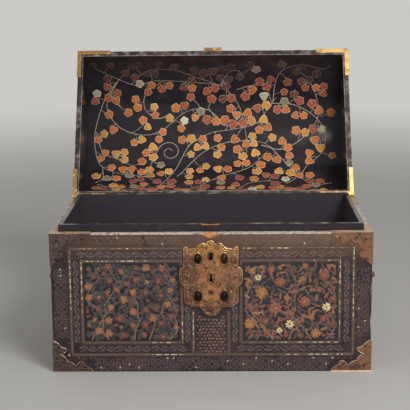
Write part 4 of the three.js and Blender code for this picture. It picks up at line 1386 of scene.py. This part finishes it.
back = {
    "outer": (-199, 199, 24.8, 179.5),
    "centre": (-108, 108, 42.6, 161.6),
    "sides": [(-182, -120, 42.6, 118), (120, 182, 42.6, 118)],
    "strapAt": 140,
    "strap": (21, 131),  # its half width and foot
    "seed": 31,
    "panelSeed": 32,
}


def backBlocked(u, v, room):
    strap = abs(abs(u) - back["strapAt"]) < back["strap"][0] + room and v > back["strap"][1] - room
    return strap or chestCorner(u, v, coffer["halfWidth"], room)


def backSteps():
    borders, scrolls, panels = "back_borders", "back_scroll_bands", "back_panels"
    yield borders, addFrame, back["outer"]
    yield borders, addLattice, front["face"], inFrame(back["outer"])
    yield scrolls, addScroll, (-190, 33.5), (190, 33.5), 5.4
    yield scrolls, addScroll, (-106, 170.5), (106, 170.5), 5.4
    for u in (-114, 114):
        yield scrolls, addScroll, (u, 44), (u, 160), 4.2
    yield borders, addFrame, back["centre"]
    yield panels, addFlowerPanel, shrink(back["centre"], trim["inset"]), back["panelSeed"]
    for box in back["sides"]:
        yield borders, addFrame, box
        yield panels, addFruitPanel, shrink(box, trim["inset"])


end = {
    "face": (-127, 127, 1.5, 199.5),
    "outer": (-103, 103, 24.8, 179.5),
    "panel": (-86, 86, 42.6, 161.6),
    "rosetteAt": (46, 120),
    "rosette": 15.5,
    "seeds": (41, 42),
}


def endBlocked(u, v, room):
    post = hypot(abs(u) - end["rosetteAt"][0], v - end["rosetteAt"][1]) < end["rosette"] + room
    return post or chestCorner(u, v, coffer["halfDepth"], room)


def endSteps(borders, panel):
    yield borders, addFrame, end["outer"]
    yield borders, addFrame, end["panel"]
    yield borders, addLattice, end["face"], inFrame(end["outer"])
    for v in (33.6, 170.6):
        yield borders, addScroll, (-96, v), (96, v), 5.4
    for u in (-94.5, 94.5):
        yield borders, addScroll, (u, 44), (u, 160), 4.8
    yield panel, addFlowerPanel, shrink(end["panel"], trim["inset"])


decorate("chest", onBack, backBlocked, random.Random(back["seed"]), backSteps())
for name, place, seed in zip(("left", "right"), (onLeft, onRight), end["seeds"]):
    steps = endSteps(name + "_end_borders", name + "_end_panel")
    decorate("chest", place, endBlocked, random.Random(seed), steps)
print("back and ends decorated")


# The outside of the lid
cover = {
    "face": (-223, 223, -112, 238),
    "outer": (-202, 202, -90, 216),
    "left": (-184, -40, -73, 199),
    "right": (40, 184, -73, 199),
    "middle": (-25, 25, -90, 216),
    "rims": (-114, 240),
    "hasp": (18, -52),
    "strap": (22, 180),
    "corner": ((56, 20), (22, 52), (33, 30, 46)),
    "seed": 51,
}


def coverBlocked(u, v, room):
    hasp = abs(u) < cover["hasp"][0] + room and v < cover["hasp"][1] + room
    strap = abs(abs(u) - back["strapAt"]) < cover["strap"][0] + room and v > cover["strap"][1] - room
    fromRim = min(v - cover["rims"][0], cover["rims"][1] - v)
    return hasp or strap or underMount(coffer["halfWidth"] - abs(u), fromRim, cover["corner"], room)


def coverSteps():
    for name in ("outer", "left", "right"):
        yield "lid_borders", addFrame, cover[name]
    yield "lid_borders", addFrame, cover["middle"], "lr"
    yield "lid_borders", addLattice, cover["face"], inFrame(cover["outer"])
    scrolls = "lid_scroll_bands"
    for side in (-1, 1):
        for u, halfWidth in ((side * 193, 4.8), (side * 32.5, 3.4)):
            yield scrolls, addScroll, (u, -70), (u, 198), halfWidth
        for v in (-81.5, 207.5):
            yield scrolls, addScroll, (side * 36, v), (side * 196, v), 5.0
    yield scrolls, addSmallPattern, (-22, 22, -86, 212)
    yield "lid_left_panel", addFruitPanel, shrink(cover["left"], trim["inset"])
    yield "lid_right_panel", addFlowerPanel, shrink(cover["right"], trim["inset"])


lidSide = {
    "within": (127.5, 16.0),  # radius and foot that the inlay keeps within
    "mountFrom": (129, 12.7),
    "mountArms": ((78, 22), (12, 52)),
    "frame": (108.0, 30.0),  # radius and foot of the outer and the inner frame
    "panel": (94.0, 42.0),
    "face": (-126, 126, 14, 128),
    "seed": 60,
}


def arcPath(radius, base, step=3.0):
    first = asin(base / radius)
    parts = round((pi - 2 * first) * radius / step)
    turns = [first + (pi - 2 * first) * i / parts for i in range(parts + 1)]
    return [(radius * cos(a), radius * sin(a)) for a in turns]


def lidEndBlocked(u, v, room):
    (reach, foot), (radius, base) = lidSide["within"], lidSide["mountFrom"]
    (lowFrom, low), (wide, tall) = lidSide["mountArms"]
    a, b = radius - hypot(u, v), v - base
    mount = (abs(u) > lowFrom and b < low + room) or (a < wide + room and b < tall + room)
    return mount or hypot(u, v) > reach - room or v < foot + room


def lidSideSteps(borders):
    for name in ("frame", "panel"):
        run = arcPath(*lidSide[name])
        yield borders, addStrip, run
        yield borders, addStrip, straight(run[-1], run[0])
    radius, base = lidSide["frame"]
    inside = lambda u, v, room: hypot(u, v) < radius + 3 + room and v > base - 3 - room
    yield borders, addLattice, lidSide["face"], inside


decorate("lid", onCover, coverBlocked, random.Random(cover["seed"]), coverSteps())
radius, base = lidSide["panel"]
for name, side in (("left", -1), ("right", 1)):
    place, dice = onLidEnd(side), random.Random(lidSide["seed"] + side)
    decorate("lid", place, lidEndBlocked, dice, lidSideSteps(name + "_lid_end_borders"))
    beyond = lambda u, v, room: hypot(u, v) > radius - 3 - room or v < base + 3 + room
    panel = [(name + "_lid_end_panel", addFlowerPanel, (-radius, radius, base + 3, radius))]
    decorate("lid", place, beyond, dice, panel)
print("outside of the lid decorated")


# Metal: beads along the cut edges of the mounts, nails, and chased relief on the lock plate
metalWork = {
    "bead": 0.34,
    "rimBead": 0.44,
    "plateBead": 0.62,
    "leafBead": 0.3,
    "shortest": 0.004,  # metres of the runs that are beaded
    "shortestOfPlate": 0.1,
    "nail": 1.5,
    "nailRise": 0.7,
    "nails": [(9, 9), (45, 7), (8, 37)],  # from the corner, along and up or down
    "mountFace": 0.9,
    "flatWithin": 0.00008,
    # how far out the faces of the leaves lie, which their knuckles stand out past
    "leafFaces": {"hinge_leaf_chest": 129.7, "hinge_leaf_lid": 130.42, "hasp_leaf": 130.42},
    "plateFace": 1.7,
    "plateMiddle": 131.0,
    "inset": 0.935,
    "line": (1.15, 0.4),
    "curls": [  # across, up and radius of each engraved curl of the right half
        (31, 166, 6.2), (33, 150, 6.2), (35, 136, 5.6), (31, 122, 6.2), (31, 106, 5.4), (8, 151, 5.2),
        (9, 128, 4.6), (8, 94, 3.8), (7.5, 181, 4.2), (16.5, 180.5, 2.8), (24, 177, 2.4),
    ],
    "bosses": [(18.5, 165), (18.5, 111)],
    "collar": (5.6, 8.6),
    # middle, half width, half height and squareness of the rims round the openings
    "openings": [(168.0, 3.6, 6.3, 0.3), (137.2, 4.4, 7.6, 0.7), (116.5, 3.0, 3.0, 0.5)],
    "fan": (100.0, 7.2),
    "shade": 1.1,
    "petal": (8.3, 2.9),  # how far out the petals of the rosettes stand, and how long they are
    "knuckle": {
        "back": 271.9,
        "up": 427.8,
        "radius": 3.25,
        "bead": 0.35,
        "ends": {"lid": (-14.6, -7.4, 7.4, 14.6), "hasp": (-6.3, 0.0, 6.3)},
    },
}
# Which way the faces look whose edges are beaded, by a word in the name of the node
outward = {
    "left": (-1, 0, 0),
    "right": (1, 0, 0),
    "front": (0, -1, 0),
    "back": (0, 1, 0),
    "upper": (0, 0, 1),
    "lock": (0, -1, 0),
    "chest": (0, 1, 0),
    "lid": "arc",
    "hasp": "arc",
}
# Body, start and end of the nodes' names, words of them that count, radius and material
beaded = {
    "upper_mount_beads": ("chest", "corner_", "upper", "front back left right upper", "bead", "giltCopper"),
    # painted highlight: the beads of the lower mounts are pale cream gilding, lit from above, while those of
    # the upper mounts keep the darker gilding of the mounts
    "lower_mount_beads": ("chest", "corner_", "lower", "front back left right", "rimBead", "creamGilt"),
    "lid_mount_beads": ("lid", "lid_mount_", "", "lid left right", "bead", "brightGilt"),
    "lock_plate_bead": ("chest", "lock_plate", "", "lock", "plateBead", "reliefGilt"),
    "hinge_leaf_beads": ("chest", "hinge_leaf_chest", "", "chest", "leafBead", "brightGilt"),
    "lid_strap_beads": ("lid", ("hinge_leaf_lid", "hasp_leaf"), "", "lid hasp", "leafBead", "brightGilt"),
    "rosette_beads": ("chest", "handle_rosette_", "", "left right", "bead", "brightGilt"),
}


def reachOf(point, way):
    if way == "arc":
        return hypot(point.y - metres["vaultBack"], point.z - metres["vaultHeight"])
    return point.dot(Vector(way))


def cutEdges(node, ways):
    # edges between an outermost face and the cut side of a plate, joined into runs of points
    key = lambda p: tuple(round(c * 200000) for c in p)
    vertices = [v.co.copy() for v in nodes[node].data.vertices]
    given = [level * mm for start, level in metalWork["leafFaces"].items() if node.startswith(start)]
    limits = [(way, given[0] if given else max(reachOf(p, way) for p in vertices)) for way in ways]
    sides, spots = {}, {}
    for face in nodes[node].data.polygons:
        corners = [vertices[i] for i in face.vertices]
        away = [max(abs(reachOf(p, way) - limit) for p in corners) for way, limit in limits]
        shown = min(away) < metalWork["flatWithin"]
        for a, b in zip(corners, corners[1:] + corners[:1]):
            pair = tuple(sorted((key(a), key(b))))
            spots[key(a)], spots[key(b)] = a, b
            sides.setdefault(pair, []).append(shown)
    links = {}
    for (a, b), shown in sides.items():
        if sorted(shown) == [False, True]:
            links.setdefault(a, []).append(b)
            links.setdefault(b, []).append(a)
    runs, used = [], set()
    for start in sorted(links, key=lambda k: (len(links[k]) == 2, k)):
        for first in links[start]:
            if (start, first) in used:
                continue
            run = [start, first]
            used |= {(start, first), (first, start)}
            while len(links[run[-1]]) == 2:
                step = [k for k in links[run[-1]] if (run[-1], k) not in used]
                if not step:
                    break
                used |= {(run[-1], step[0]), (step[0], run[-1])}
                run.append(step[0])
            runs.append([spots[k] for k in run])
    return runs


def lengthOf(run):
    return sum((b - a).length for a, b in zip(run, run[1:]))


def addTube(points, faces, run, radius, count=6):
    # a round bead along a run of points in metres
    closed = (run[0] - run[-1]).length < 0.00002
    last = len(run) - 1
    side, rows = None, []
    for i, p in enumerate(run):
        ahead, behind = run[min(i + 1, last)], run[max(i - 1, 0)]
        if closed and i in (0, last):
            ahead, behind = run[1], run[-2]
        way = (ahead - behind).normalized()
        side = way.orthogonal() if side is None else side - way * side.dot(way)
        side.normalize()
        over = way.cross(side)
        turns = [2 * pi * k / count for k in range(count)]
        rows.append(range(len(points), len(points) + count))
        points += [p + (side * cos(a) + over * sin(a)) * radius * mm for a in turns]
    bridge(faces, rows, True)
    faces += [tuple(reversed(rows[0])), tuple(rows[-1])]


for piece, (body, first, last, words, radius, material) in beaded.items():
    points, faces = [], []
    for node in nodes:
        if node.startswith(first) and node.endswith(last):
            ways = [outward[word] for word in words.split() if word in node.split("_")]
            for run in cutEdges(node, ways):
                if lengthOf(run) > metalWork["shortestOfPlate" if node == "lock_plate" else "shortest"]:
                    addTube(points, faces, run, metalWork[radius])
    addMesh(piece, body, points, faces, materials[material])
print("beads made")


def loop(u, v, halfWide, halfTall, count=28, power=1.0):
    # a closed line round (u, v), an oval, or squarer with a lower power
    path = []
    for i in range(count + 1):
        across, up = cos(2 * pi * i / count), sin(2 * pi * i / count)
        a, b = halfWide * copysign(abs(across) ** power, across), halfTall * copysign(abs(up) ** power, up)
        path.append((u + a, v + b))
    return path


noTint = (0, 0, 0)  # metal takes its colour from its material alone


def makeShapes(name, body, sheet, material):
    addMesh(name, body, sheet["points"], sheet["faces"], materials[material])


def makePlateRelief():
    # the raised drawing of the lock plate: a line inside its outline, curls, collars and a fan of leaves,
    # in bright gilding as a painted highlight, each over a wider dark line below that stands for both
    # painted shade and the tarnish beside it
    work = metalWork
    middle = work["plateMiddle"]
    onPlate = lambda u, v, rise: onFront(u, v, work["plateFace"] + rise)
    bright, dark = newSheet(onPlate), newSheet(onPlate)

    def line(path, wide, rise, taper=1.0):
        addRibbon(bright, path, wide, rise, noTint, taper)
        addRibbon(dark, path, wide + work["shade"], 0.05, noTint, taper, 0.8)

    def leaf(u, v, turn, size, rise):
        at = stepped(u, v, turn, size)
        for sheet, reach, height in ((bright, size, rise), (dark, size + work["shade"] / 2, 0.06)):
            addPatch(sheet, *at, ring(12, reach, 0.0, 3, 0.44, 0.2), height, noTint, turn)

    outline = max(cutEdges("lock_plate", [outward["lock"]]), key=lengthOf)
    inner = [(p.x / mm * work["inset"], middle + (p.z / mm - middle) * work["inset"]) for p in outline]
    line(inner, *work["line"])
    for side in (-1, 1):
        for u, v, radius in work["curls"]:
            start, way = (2.6, -1) if v > middle else (-2.6, 1)
            path = [(side * a, b) for a, b in curl(u, v, radius, 1.3, start, way)]
            line(path, *work["line"], 0.6)
            for k, size in ((8, 1.1), (16, 0.9)):
                (a, b), (ahead, over) = path[k], path[k + 1]
                leaf(a, b, atan2(over - b, ahead - a) + 0.7 * side, size, work["line"][1])
        for u, v in work["bosses"]:
            line(loop(side * u, v, *work["collar"]), 1.8, 0.7)
        line([(side * a, b) for a, b in curl(8.6, 103, 3.6, 1.2, -2.2, 1)], 1.2, 0.5, 0.7)
    for v, halfWide, halfTall, power in work["openings"]:
        line(loop(0, v, halfWide, halfTall, 36, power), 1.2, 0.5)
    foot, reach = work["fan"]
    for k in range(-2, 3):
        leaf(0, foot, pi / 2 + k * 0.52, (reach - 0.6 * abs(k)) / 2, 0.45)
    makeShapes("lock_plate_relief", "chest", bright, "reliefGilt")
    makeShapes("lock_plate_tarnish", "chest", dark, "darkCopper")


def makeKnuckleRings():
    # rings round the ends of the knuckles of the hasp
    work = metalWork["knuckle"]
    for body, ends in work["ends"].items():
        points, faces = [], []
        for across in ends:
            size = loop(work["back"], work["up"], work["radius"], work["radius"])
            addTube(points, faces, [Vector((across, a, b)) * mm for a, b in size], work["bead"])
        addMesh(f"{body}_knuckle_rings", body, points, faces, materials["creamGilt"])


def onMounts(place):
    return lambda u, v, rise: place(u, v, metalWork["mountFace"] + rise)


def makeNails():
    # domed pin heads on the corner mounts of each face
    sheet, head = newSheet(None), ring(12, metalWork["nail"])
    places = (onFront, "halfWidth"), (onBack, "halfWidth"), (onLeft, "halfDepth"), (onRight, "halfDepth")
    for place, half in places:
        sheet["place"] = onMounts(place)
        for along, up in metalWork["nails"]:
            for u in (along - coffer[half], coffer[half] - along):
                for v in (up, coffer["height"] - up):
                    addPatch(sheet, u, v, head, metalWork["nailRise"], noTint, inner=0.62)
    makeShapes("corner_mount_nails", "chest", sheet, "darkCopper")


def makeRosettes():
    # raised petals round the posts of the handles
    across, up = end["rosetteAt"]
    away, size = metalWork["petal"]
    for name, place in (("left", onLeft), ("right", onRight)):
        sheet = newSheet(onMounts(place))
        for u in (-across, across):
            for turn in [(k + 0.5) * pi / 4 for k in range(8)]:
                petal = ring(12, size, 0.0, 3, 0.62, 0.15)
                addPatch(sheet, *stepped(u, up, turn, away), petal, 0.7, noTint, turn)
        makeShapes(name + "_rosette_petals", "chest", sheet, "giltCopper")


makePlateRelief()
makeKnuckleRings()
makeNails()
makeRosettes()
print("relief, nails and rosettes made")
